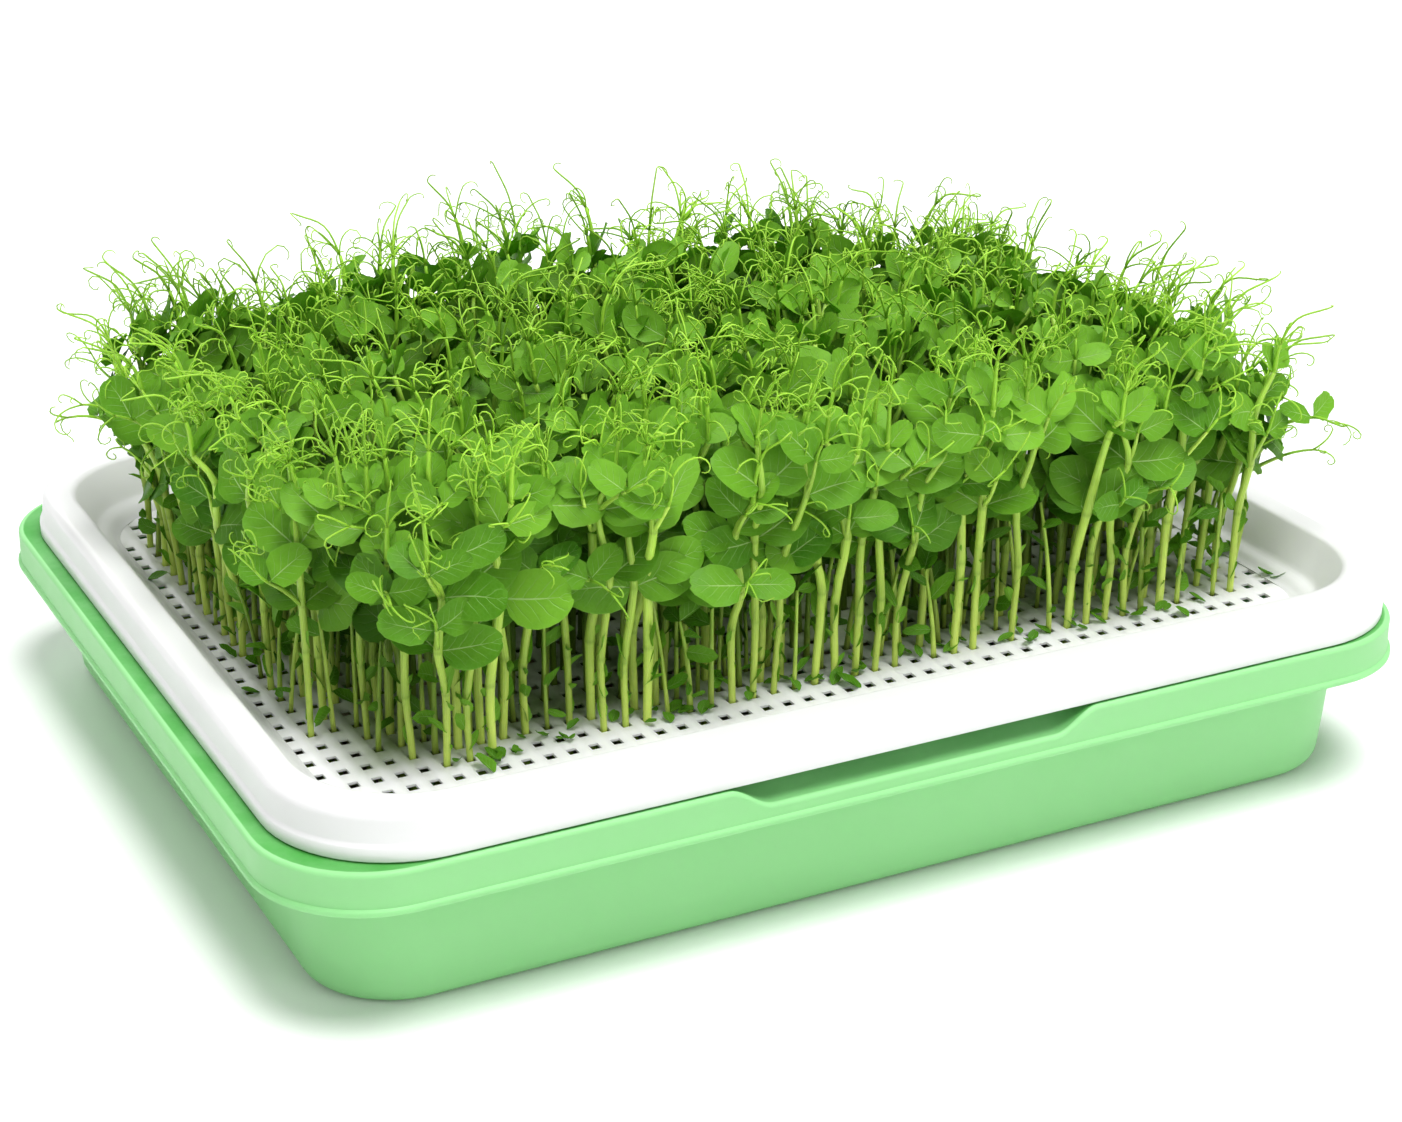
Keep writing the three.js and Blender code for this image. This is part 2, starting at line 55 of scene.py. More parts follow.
RIM_LENGTH = 340
RIM_WIDTH = 273.6
RIM_CORNER = 36
CORNER_EASE = 0.5
WATER_OVERHANG = 2.6
WATER_CORNER = 31
WALL = 2
FIT = 0.3
WATER_RIM_TOP = 47.7
WATER_SKIRT_FOOT = 36.2
WATER_SKIRT_LIP = 0.8
WATER_RIM_BREADTH = 13.6
WATER_WALL_DRAFT = 2.7
WATER_FOOT_ROUND = 5
NOTCH_DEPTH = 6
NOTCH_BACK_DEPTH = 2
NOTCH_HALF = 43
NOTCH_RUN = 13
GROW_RIM_TOP = 61.3
GROW_BEAD_HEIGHT = 4
GROW_BEAD_PROUD = 0.8
GROW_RIM_BREADTH = 10.7
PLATE_TOP = 46.5
PLATE_INSET = 18.8
LOOSE_SHIFT = np.array([2.7, -1.0, 0.0])

HOLE_PITCH_X = 6.4
HOLE_PITCH_Y = 8
HALF_COLUMNS = 22
HALF_ROWS = 11
OUTER_COLUMN = HALF_COLUMNS * HOLE_PITCH_X
OUTER_ROW = HALF_ROWS * HOLE_PITCH_Y
COLUMNS = 10
ROWS = 6
STEP_DRAW = 1.3
BUNCH_COLUMNS = 2
BUNCH_ROWS = 2
MAT_TOP = 15
MAT_HALF_LENGTH = 25.5
MAT_HALF_WIDTH = 29

SHOOT_HEIGHT = 62
HEIGHT_SPREAD = 18
END_DIP = 10
CORNER_DIP = 14
LEAN = 6
LEAN_SPREAD = 6
ZIGZAG = 2.4
NODE_LEVELS = (0.32, 0.6, 0.84, 1)
LEVEL_SPREAD = 0.06
LEAF_NODES = (2, 1)
LEAF_LENGTH = 16
LEAF_LENGTH_SPREAD = 4
LEAF_BREADTH = 0.76
LEAF_ROOT = 0.5
LEAF_TILT = 12
LEAF_TILT_SPREAD = 40
LEAF_SWING = 25
LEAF_SWING_SPREAD = 60
LEAF_TRIES = 14
CLEARANCE = 5.6
TENDRIL_LENGTH = 22
TENDRIL_LENGTH_SPREAD = 12
TENDRIL_STEPS = 3
TENDRIL_RISE = 82
TENDRIL_BEND = 6
TENDRIL_BEND_SPREAD = 24
OUTWARD_PULL = 1.6
LIGHT_PULL = np.array([-0.3, -0.6])     # all turn a little to a light in front

# ---- Dimensions of the fine pieces ----

CORNER_STEPS = 14
HOLE_X = 2.8                # the plate's square holes
HOLE_Y = 3.1
HOLE_EDGE = 0.6             # rounding of their edges
HOLE_COLUMNS = 47
HOLE_ROWS = 29
BAR_DROP = 0.5              # the cross bars lie this far below the strips along Y
STRIP_SAG = 0.12            # and the strips' edges sag this much beside a hole
PLATE_BORDER = 2.1          # smooth border between the inner wall and the holes
PLATE_THIN = 1.2            # thickness of the plate round its holes
PLATE_GAP = 0.2             # the plate's sheet ends this far from the foot of the inner wall
PLATE_STAIN_AND_SHADE = 0.92          # how strongly the plants stain it in their midst, a stain that also paints the shade under them

EDGE_BELT = 20              # the shoots this near the planting's edge are seen in full
EDGE_SPACING = 6.3          # least distance between two stems there
INNER_SPACING = 9.2         # and further in
EDGE_FILL = 0.80            # share of the edge belt's holes that are filled
WEAK_SHARE = 0.45           # share of weak, short shoots among those that fill it
CORNER_CUT = 22             # the planting's bare front left corner is cut off by this much
FILLING_DROP = 3            # the filling shoots are this much shorter
FILLING_WANDER = 5          # and lean about this much
CANOPY_TOP = 121            # below this height, and away from the edge, painted shade darkens it
CANOPY_DEPTH = 25           # and is darkest this much further down
STEMS_TOP = 90              # between the bare stems below this height the light reaches further in
STEMS_DEPTH = 40
YOUNG_FROM = 95             # above this height the leaves are younger and lighter
YOUNG_SPAN = 26
BLADE_THICKNESS = 0.34
TIP_LEAF_LENGTH = 7
TIP_LEAF_LENGTH_SPREAD = 6
SIDE_LEAF_LENGTH = 10
SIDE_LEAF_LENGTH_SPREAD = 5.5
SIDE_STALK_LENGTH = 7
SIDE_STALK_LENGTH_SPREAD = 8
WEAK_HEIGHT = 24
WEAK_HEIGHT_SPREAD = 34
FAN_REACH = 11              # how far the threads of a tip's fan reach, about
SMALL_FAN_REACH = 9
ROOT_STEPS = 26             # points round the mat of roots
PEA_RADIUS = 3.6
STEM_RADIUS = 1.2
STEM_SIDES = 7
STEM_RIBS = 6
STALK_RADIUS = 0.85
THREAD_RADIUS = 0.34
THREAD_TIP_RADIUS = 0.17
SMALL_BITS = 90             # the smallest of the bits of leaves on the plate


# ---- Helpers ----

DRAW_MODULUS = 2147483647
DRAW_FACTOR = 48271
SEED_FACTOR = 7919          # keeps the draws of neighbouring seeds apart
SEED_SHIFT = 104729
FILLING_DRAWS = 5000        # the numbers of the runs of draws
FILLING_SHOOT_DRAWS = 7000
ROOT_DRAWS = 9000
FALLEN_DRAWS = 12345


def random_from(seed):
    """The solids' own generator: the same draws come back for the same seed."""
    state = (seed * SEED_FACTOR + SEED_SHIFT) % DRAW_MODULUS

    def draw():
        nonlocal state
        state = (state * DRAW_FACTOR) % DRAW_MODULUS
        return state / DRAW_MODULUS

    return draw


def spread(draw, reach):
    return (2 * draw() - 1) * reach


def nearest(value):
    return math.floor(value + 0.5)


def unit(vector):
    return vector / np.linalg.norm(vector)


def vec(*parts):
    return np.array(parts, float)


def clamp(value):
    return min(max(value, 0), 1)


def draw_angle(draw, least, reach):
    return math.radians(least + reach * draw())


def spread_angle(draw, reach):
    return math.radians(spread(draw, reach))


def direction(turn, rise):
    """The direction that looks towards a turn about Z and rises from level."""
    return vec(math.cos(turn) * math.cos(rise), math.sin(turn) * math.cos(rise), math.sin(rise))


def level_across(turn):
    """The level direction a quarter turn on."""
    return vec(-math.sin(turn), math.cos(turn), 0)


def facing_frame(turn, tilt, swing):
    """Directions up from and along a blade that looks towards a turn, tilted up from level."""
    steepest = vec(-math.cos(turn) * math.sin(tilt), -math.sin(turn) * math.sin(tilt), math.cos(tilt))
    return direction(turn, tilt), steepest * math.cos(swing) + level_across(turn) * math.sin(swing)


def add_object(name, data):
    made = bpy.data.objects.new(name, data)
    bpy.context.scene.collection.objects.link(made)
    return made


class Patchwork:
    """Gathers quads, with a material, UVs and tints, and makes one mesh of them. A quad whose last
    two corners are the same is a triangle."""

    def __init__(self):
        self.points = []
        self.quads = []
        self.slots = []
        self.uvs = []
        self.tints = []
        self.count = 0

    def add(self, points, quads, slot, uv=None, tint=(0.5, 0.5, 0.0)):
        points = np.asarray(points, float).reshape(-1, 3)
        quads = np.asarray(quads, int).reshape(-1, 4)
        size = len(points)
        self.points.append(points)
        self.quads.append(quads + self.count)
        self.slots.append(np.full(len(quads), slot))
        self.uvs.append(np.zeros((size, 2)) if uv is None else np.asarray(uv, float).reshape(-1, 2))
        self.tints.append(np.broadcast_to(np.asarray(tint, float), (size, 3)))
        self.count += size

    def move(self, shift):
        for points in self.points:
            points += shift

    def build(self, name, materials, sharp_angle):
        gathered = (self.points, self.quads, self.slots, self.uvs, self.tints)
        points, quads, slots, uvs, tints = (np.concatenate(rows) for rows in gathered)
        mesh = bpy.data.meshes.new(name)
        mesh.vertices.add(len(points))
        mesh.vertices.foreach_set("co", (points * MM).ravel())
        is_quad = quads[:, 2] != quads[:, 3]
        totals = np.where(is_quad, 4, 3)
        keep = np.ones_like(quads, bool)
        keep[:, 3] = is_quad
        corners = quads[keep]
        mesh.loops.add(len(corners))
        mesh.loops.foreach_set("vertex_index", corners)
        mesh.polygons.add(len(quads))
        mesh.polygons.foreach_set("loop_start", np.concatenate([[0], np.cumsum(totals)[:-1]]))
        mesh.polygons.foreach_set("material_index", slots)
        mesh.polygons.foreach_set("use_smooth", np.ones(len(quads), bool))
        uv_layer = mesh.uv_layers.new(name="UVMap")
        uv_layer.uv.foreach_set("vector", uvs[corners].ravel())
        tint = mesh.color_attributes.new("tint", "FLOAT_COLOR", "POINT")
        tint.data.foreach_set("color", np.c_[tints, np.ones(len(tints))].ravel())
        mesh.update(calc_edges=True)
        mesh.validate()
        mesh.set_sharp_from_angle(angle=math.radians(sharp_angle))
        for material in materials:
            mesh.materials.append(material)
        return add_object(name, mesh)


def ring_quads(rows, columns):
    """Quads between closed rings of points that are stored ring by ring."""
    row = np.arange(rows - 1)[:, None] * columns
    here = np.arange(columns)[None, :]
    after = (here + 1) % columns
    quads = np.stack([row + here, row + after, row + columns + after, row + columns + here], axis=-1)
    return quads.reshape(-1, 4)


def cells_of(index):
    """The four corners of every cell of a table of point numbers."""
    return np.stack([index[:-1, :-1], index[1:, :-1], index[1:, 1:], index[:-1, 1:]], axis=-1)


def fan_quads(ring, flip=False):
    """Triangles, as quads with a doubled corner, that close a ring of points."""
    ring = list(ring)
    triangles = [(ring[0], ring[i], ring[i + 1]) for i in range(1, len(ring) - 1)]
    if flip:
        triangles = [(a, c, b) for a, b, c in triangles]
    return np.array([(a, b, c, c) for a, b, c in triangles])


def closed_stack(rings):
    """Points and quads of a closed body through rings of points, from its foot up."""
    rows, columns = len(rings), len(rings[0])
    quads = [ring_quads(rows, columns), fan_quads(range(columns), flip=True),
             fan_quads(range((rows - 1) * columns, rows * columns))]
    return np.concatenate(rings), np.concatenate(quads)


# ---- Materials ----

class Shader:
    """A small hand for building node materials."""

    def __init__(self, name):
        self.material = bpy.data.materials.new(name)
        self.material.use_nodes = True
        self.nodes = self.material.node_tree.nodes
        self.links = self.material.node_tree.links
        self.surface = self.nodes["Principled BSDF"]

    def node(self, kind, values=None, **settings):
        made = self.nodes.new(kind)
        for key, value in settings.items():
            setattr(made, key, value)
        for key, value in (values or {}).items():
            self.put(made.inputs[key], value)
        return made

    def put(self, socket, value):
        if isinstance(value, bpy.types.NodeSocket):
            self.links.new(value, socket)
        else:
            socket.default_value = value

    def set_surface(self, settings):
        for key, value in settings.items():
            self.put(self.surface.inputs[key], value)

    def mix(self, factor, first, second):
        made = self.node("ShaderNodeMix", data_type="RGBA")
        self.put(made.inputs[0], factor)
        self.put(made.inputs[6], first)
        self.put(made.inputs[7], second)
        return made.outputs[2]

    def coat(self, body, mask, strength, colour):
        """Lays a colour over another, where the mask is high."""
        return self.mix(self.math("MULTIPLY", mask, strength), body, colour)

    def math(self, operation, *values):
        made = self.node("ShaderNodeMath", operation=operation)
        for socket, value in zip(made.inputs, values):
            self.put(socket, value)
        return made.outputs[0]

    def times(self, first, second):
        return self.math("MULTIPLY", first, second)

    def rest(self, value):
        return self.math("SUBTRACT", 1.0, value)

    def ramp(self, value, low, high, to_low=0.0, to_high=1.0):
        made = self.node("ShaderNodeMapRange", {"Value": value, "From Min": low, "From Max": high,
                                                "To Min": to_low, "To Max": to_high},
                         interpolation_type="SMOOTHSTEP")
        return made.outputs[0]

    def noise(self, scale, detail, roughness):
        made = self.node("ShaderNodeTexNoise", {"Vector": self.place(), "Scale": scale,
                                                "Detail": detail, "Roughness": roughness})
        return made.outputs["Fac"]

    def bump(self, height, strength, distance):
        made = self.node("ShaderNodeBump", {"Height": height, "Strength": strength,
                                            "Distance": distance})
        self.put(self.surface.inputs["Normal"], made.outputs[0])
        return made.outputs[0]

    def place(self):
        return self.node("ShaderNodeTexCoord").outputs["Object"]

    def tint(self):
        attribute = self.node("ShaderNodeAttribute", attribute_name="tint")
        return self.node("ShaderNodeSeparateColor", {"Color": attribute.outputs["Color"]}).outputs

    def uv(self):
        uv = self.node("ShaderNodeUVMap", uv_map="UVMap").outputs["UV"]
        return self.node("ShaderNodeSeparateXYZ", {"Vector": uv}).outputs


def plastic(name, colour, shade, stain_and_shade_colour, roughness, gloss_scale, depth):
    """Moulded plastic: faint flow clouding, a fine satin grain and uneven gloss. The tint holds painted
    light that makes the plate lighter (R), and a darker coat (B): painted shade on the water tray's rim
    beside the growing tray, and on the plate a plant stain together with painted shade under the shoots."""
    s = Shader(name)
    tint = s.tint()
    body = s.mix(s.ramp(s.noise(9.0, 3.0, 0.55), 0.3, 0.75), colour, shade)
    # painted light: where R is high, on the plate, the colour is lightened towards white
    body = s.coat(body, tint[0], 0.8, (1, 1, 1, 1))
    # B: a darker coat, painted shade on the water tray's rim and, on the plate, a plant stain with painted
    # shade
    body = s.coat(body, tint[2], s.ramp(s.noise(55.0, 4.0, 0.6), 0.25, 0.75, 0.65, 1.0), stain_and_shade_colour)
    uneven = s.noise(gloss_scale, 2.0, 0.5)
    s.set_surface({"Base Color": body, "IOR": 1.49, "Specular IOR Level": 0.4,
              "Roughness": s.ramp(uneven, 0.25, 0.75, roughness - 0.05, roughness + 0.07),
              "Subsurface Weight": 0.15, "Subsurface Radius": depth, "Subsurface Scale": 0.004})
    s.bump(s.noise(1400.0, 2.0, 0.6), 0.05, 0.00008)
    return s.material


def leaf_material():
    """A leaf's blade: pale midrib and side veins, patchy green, its own shade of green on each leaf, and
    light coming through. The tint holds how light a green (R) and the painted shade deep in the canopy (G),
    which darkens the blade towards a deep green."""
    s = Shader("pea_leaf")
    along, across, _ = s.uv()
    across = s.math("ABSOLUTE", across)
    tint = s.tint()

    # The midrib thins towards the tip. The side veins are swept forward from it, and a fine net
    # of veins fills what is left.
    rib_width = s.math("MULTIPLY_ADD", along, -0.040, 0.046)
    rib = s.rest(s.ramp(s.math("DIVIDE", across, rib_width), 0.4, 1.4))
    rib = s.times(rib, s.ramp(along, 0.95, 0.45, 0.25, 1.0))
    swept = s.math("SUBTRACT", along, s.times(s.math("POWER", across, 0.8), 0.36))
    wobble = s.math("SUBTRACT", s.noise(230.0, 1.0, 0.5), 0.5)
    swept = s.math("ADD", swept, s.times(wobble, 0.09))
    saw = s.math("ABSOLUTE", s.math("SUBTRACT", s.math("FRACT", s.times(swept, 5.5)), 0.5))
    side = s.times(s.rest(s.ramp(saw, 0.015, 0.09)), s.ramp(across, 0.95, 0.25, 0.0, 1.0))
    net = s.node("ShaderNodeTexVoronoi", {"Vector": s.place(), "Scale": 700.0},
                 feature="DISTANCE_TO_EDGE").outputs["Distance"]

    patch = s.noise(150.0, 3.0, 0.6)
    body = s.mix(s.ramp(patch, 0.3, 0.7), (0.102, 0.335, 0.010, 1), (0.184, 0.465, 0.020, 1))
    body = s.mix(0.65, body, s.mix(tint[0], (0.042, 0.205, 0.004, 1), (0.300, 0.640, 0.050, 1)))
    body = s.coat(body, s.rest(s.ramp(net, 0.0, 0.14)), 0.12, (0.27, 0.55, 0.09, 1))
    body = s.coat(body, side, 0.58, (0.36, 0.66, 0.15, 1))
    body = s.coat(body, rib, 0.85, (0.54, 0.80, 0.27, 1))
    body = s.coat(body, s.ramp(across, 0.93, 1.0), 0.20, (0.36, 0.62, 0.12, 1))
    # painted shade: blades deep in the canopy, and some inner ones at random, are darkened towards a deep
    # green
    body = s.mix(s.rest(tint[1]), body, (0.006, 0.038, 0.001, 1))
    s.set_surface({"Base Color": body, "Roughness": s.ramp(patch, 0.2, 0.8, 0.40, 0.56),
              "Specular IOR Level": 0.18})
    puckers = s.times(s.noise(330.0, 2.0, 0.5), 1.6)
    normal = s.bump(s.math("SUBTRACT", puckers, s.math("ADD", rib, side)), 0.5, 0.00028)

    # Part of the light that falls on a blade comes out on its other side.
    through = s.node("ShaderNodeBsdfTranslucent", {"Normal": normal})
    s.put(through.inputs["Color"], s.mix(0.5, body, (0.30, 0.70, 0.006, 1)))
    blend = s.node("ShaderNodeMixShader", {"Fac": 0.32})
    s.put(blend.inputs[1], s.surface.outputs[0])
    s.put(blend.inputs[2], through.outputs[0])
    s.put(s.nodes["Material Output"].inputs["Surface"], blend.outputs[0])
    return s.material


def stem_material():
    """A juicy stem: pale at the foot, greener above, ringed at its nodes, with fine long ribs.
    The tint holds how green (R), how bright (G), partly a random tone and partly painted shade between the
    shoots, and how near a node (B)."""
    s = Shader("pea_stem")
    tint = s.tint()
    # tint G mixes towards a dark green: a random tone and painted shade together
    foot_colour = s.mix(tint[1], (0.075, 0.150, 0.004, 1), (0.750, 0.930, 0.170, 1))
    top_colour = s.mix(tint[1], (0.040, 0.160, 0.003, 1), (0.510, 0.840, 0.090, 1))
    body = s.mix(tint[0], foot_colour, top_colour)
    rib = s.math("SINE", s.times(s.uv()[1], 2 * math.pi * STEM_RIBS))
    body = s.coat(body, s.times(s.ramp(rib, -0.4, 1.0), tint[1]), 0.22, (0.74, 0.90, 0.28, 1))
    body = s.coat(body, s.ramp(s.noise(240.0, 3.0, 0.6), 0.50, 0.75), 0.22, (0.22, 0.44, 0.04, 1))
    body = s.coat(body, tint[2], 0.50, (0.16, 0.33, 0.03, 1))
    s.set_surface({"Base Color": body, "Roughness": 0.36, "Specular IOR Level": 0.32,
              "Subsurface Weight": 0.25, "Subsurface Radius": (0.8, 1.0, 0.25),
              "Subsurface Scale": 0.0012})
    s.bump(rib, 0.25, 0.00012)
    return s.material


def tendril_material():
    """A tendril's fine threads. The tint holds how far out (R) and how bright (G), partly a random tone and
    partly painted shade between the shoots.
    """
    s = Shader("pea_tendril")
    tint = s.tint()
    patch = s.noise(300.0, 2.0, 0.5)
    # tint G mixes towards a dark green: a random tone and painted shade
    body = s.mix(tint[1], (0.030, 0.140, 0.002, 1), (0.400, 0.750, 0.060, 1))
    body = s.coat(body, s.ramp(patch, 0.4, 0.8), 0.25, (0.40, 0.70, 0.06, 1))
    body = s.mix(s.ramp(tint[0], 0.8, 1.0, 0.0, 0.5), body, (0.28, 0.46, 0.04, 1))
    s.set_surface({"Base Color": body, "Roughness": 0.45, "Specular IOR Level": 0.22,
              "Subsurface Weight": 0.2, "Subsurface Radius": (0.6, 1.0, 0.2),
              "Subsurface Scale": 0.001})
    s.bump(patch, 0.15, 0.0001)
    return s.material


def root_material():
    s = Shader("pea_root")
    # The roots and peas are coloured a darker tan than their own whitish colour: painted shade in the
    # reservoir under the plate.
    body = s.mix(s.ramp(s.noise(90.0, 4.0, 0.6), 0.3, 0.7), (0.34, 0.29, 0.17, 1), (0.50, 0.44, 0.29, 1))
    s.set_surface({"Base Color": body, "Roughness": 0.6})
    s.bump(s.noise(600.0, 4.0, 0.7), 0.6, 0.0006)
    return s.material


# The third colour of each is the darker coat: painted shade for the green tray, a plant stain with painted
# shade for the white one.
GREEN_PLASTIC = plastic("green_plastic", (0.270, 0.640, 0.255, 1), (0.290, 0.670, 0.275, 1),
                        (0.050, 0.330, 0.042, 1), 0.50, 60.0, (0.5, 1.0, 0.5))
WHITE_PLASTIC = plastic("white_plastic", (0.770, 0.776, 0.772, 1), (0.790, 0.795, 0.791, 1),
                        (0.160, 0.270, 0.030, 1), 0.34, 40.0, (1.0, 1.0, 0.95))
SHOOT_MATERIALS = [stem_material(), leaf_material(), tendril_material(), root_material()]
STEM, LEAF, TENDRIL, ROOT = range(4)

# ---- Trays ----


def tray_outline(inset, rim_corner=RIM_CORNER, stations=()):
    """A rounded rectangle, anticlockwise, with extra stations on its long sides."""
    half = vec(RIM_LENGTH / 2 - inset, RIM_WIDTH / 2 - inset)
    corner = rim_corner - CORNER_EASE * inset
    turn = np.linspace(0, math.pi / 2, CORNER_STEPS + 1)
    points = []
    for quarter, (sign_x, sign_y) in enumerate(((1, 1), (-1, 1), (-1, -1), (1, -1))):
        angle = turn + quarter * math.pi / 2
        points.append(np.c_[sign_x * (half[0] - corner) + corner * np.cos(angle),
                            sign_y * (half[1] - corner) + corner * np.sin(angle)])
        if quarter in (0, 2) and len(stations):
            points.append(np.c_[-sign_y * stations, np.full(len(stations), sign_y * half[1])])
    return np.concatenate(points)


def arc(centre, radius, start, end, steps):
    """Points (inset, height) on an arc; angles in degrees, 0 towards larger insets, 90 up."""
    turn = np.radians(np.linspace(start, end, steps))
    return [(centre[0] + radius * math.cos(t), centre[1] + radius * math.sin(t)) for t in turn]


def notch_share(x):
    """1 on the notch's floor, easing to 0 at its ends."""
    run = np.clip((NOTCH_HALF + NOTCH_RUN - np.abs(x)) / NOTCH_RUN, 0, 1)
    return run * run * (3 - 2 * run)


def loft_profile(patch, profile, stations, dips, painted_shades):
    """A tray's shell through (inset, height) points from its underside, round the rim, to its floor.
    Each point has a dip, how far the notch lowers it, and how much painted shade lies on it."""
    rings, tints = [], []
    for (inset, height), dip, painted_shade in zip(profile, dips, painted_shades):
        outline = tray_outline(inset, WATER_CORNER, stations)
        on_long_side = np.abs(np.abs(outline[:, 1]) - (RIM_WIDTH / 2 - inset)) < 1e-6
        notch = np.where(on_long_side, notch_share(outline[:, 0]), 0)
        rings.append(np.c_[outline, height - dip * notch])
        # painted shade on the rim's top beside the growing tray, lighter on the notch's floor
        tints.append(np.c_[0 * notch, 0 * notch, painted_shade * (1 - 0.55 * notch)])
    patch.add(*closed_stack(rings), 0, tint=np.concatenate(tints))


def water_tray():
    edge = -WATER_OVERHANG
    wall_top = edge + WATER_RIM_BREADTH - WALL
    wall_foot = wall_top + WATER_WALL_DRAFT
    under_rim = WATER_RIM_TOP - WALL
    round_ = WATER_FOOT_ROUND
    lip = edge - WATER_SKIRT_LIP
    profile, dips, painted_shades = [], [], []

    def trace(points, dip=0.0, painted_shade=0.0):
        profile.extend(points)
        dips.extend([dip] * len(points))
        painted_shades.extend([painted_shade] * len(points))

    trace(arc((wall_foot + round_, round_), round_, 270, 180, 7))
    trace([(wall_top, under_rim - 1.5)], NOTCH_BACK_DEPTH)
    trace(arc((wall_top - 1, under_rim - 1), 1, 0, 90, 3), NOTCH_BACK_DEPTH)
    trace([(edge + WALL + 1, under_rim), (edge + WALL, under_rim - 1)], NOTCH_DEPTH)
    trace([(edge + 0.8 * WALL, WATER_SKIRT_FOOT + 0.2), (edge + 0.7 * WALL, WATER_SKIRT_FOOT)])
    trace([(lip + 0.25, WATER_SKIRT_FOOT), (lip, WATER_SKIRT_FOOT + 0.3)])
    trace([(lip, WATER_SKIRT_FOOT + 1.2), (lip + 0.15, WATER_SKIRT_FOOT + 1.45)])
    trace([(edge, WATER_SKIRT_FOOT + 1.9), (edge, WATER_SKIRT_FOOT + 2.6)])
    trace([(edge + 0.05, WATER_RIM_TOP - 1.4)], NOTCH_DEPTH)
    trace(arc((edge + 1.2, WATER_RIM_TOP - 1.2), 1.2, 180, 90, 5), NOTCH_DEPTH)
    # The rim's top under the growing tray's skirt carries painted shade (the last argument).
    trace([(edge + 1.6, WATER_RIM_TOP - 0.1)], NOTCH_DEPTH, 0.95)
    trace([(edge + 3.5, WATER_RIM_TOP - 0.1)], NOTCH_DEPTH - 0.3, 1)
    trace([(edge + 6, WATER_RIM_TOP)], NOTCH_DEPTH - 1.2, 1)
    trace([(edge + 8.5, WATER_RIM_TOP)], NOTCH_BACK_DEPTH + 1.2, 1)
    trace([(wall_top + WALL - 1, WATER_RIM_TOP), (wall_top + WALL, WATER_RIM_TOP - 1)],
          NOTCH_BACK_DEPTH)
    trace([(wall_foot + WALL, round_ + 1)])
    trace(arc((wall_foot + WALL + round_ - 1, round_ + 1), round_ - 1, 180, 270, 5))
    slope = NOTCH_HALF + NOTCH_RUN * np.linspace(0, 1, 11)
    stations = np.concatenate([-slope[::-1], [-NOTCH_HALF / 2, 0, NOTCH_HALF / 2], slope])
    patch = Patchwork()
    loft_profile(patch, profile, stations, dips, painted_shades)
    return patch.build("water_tray_shell", [GREEN_PLASTIC], sharp_angle=40)


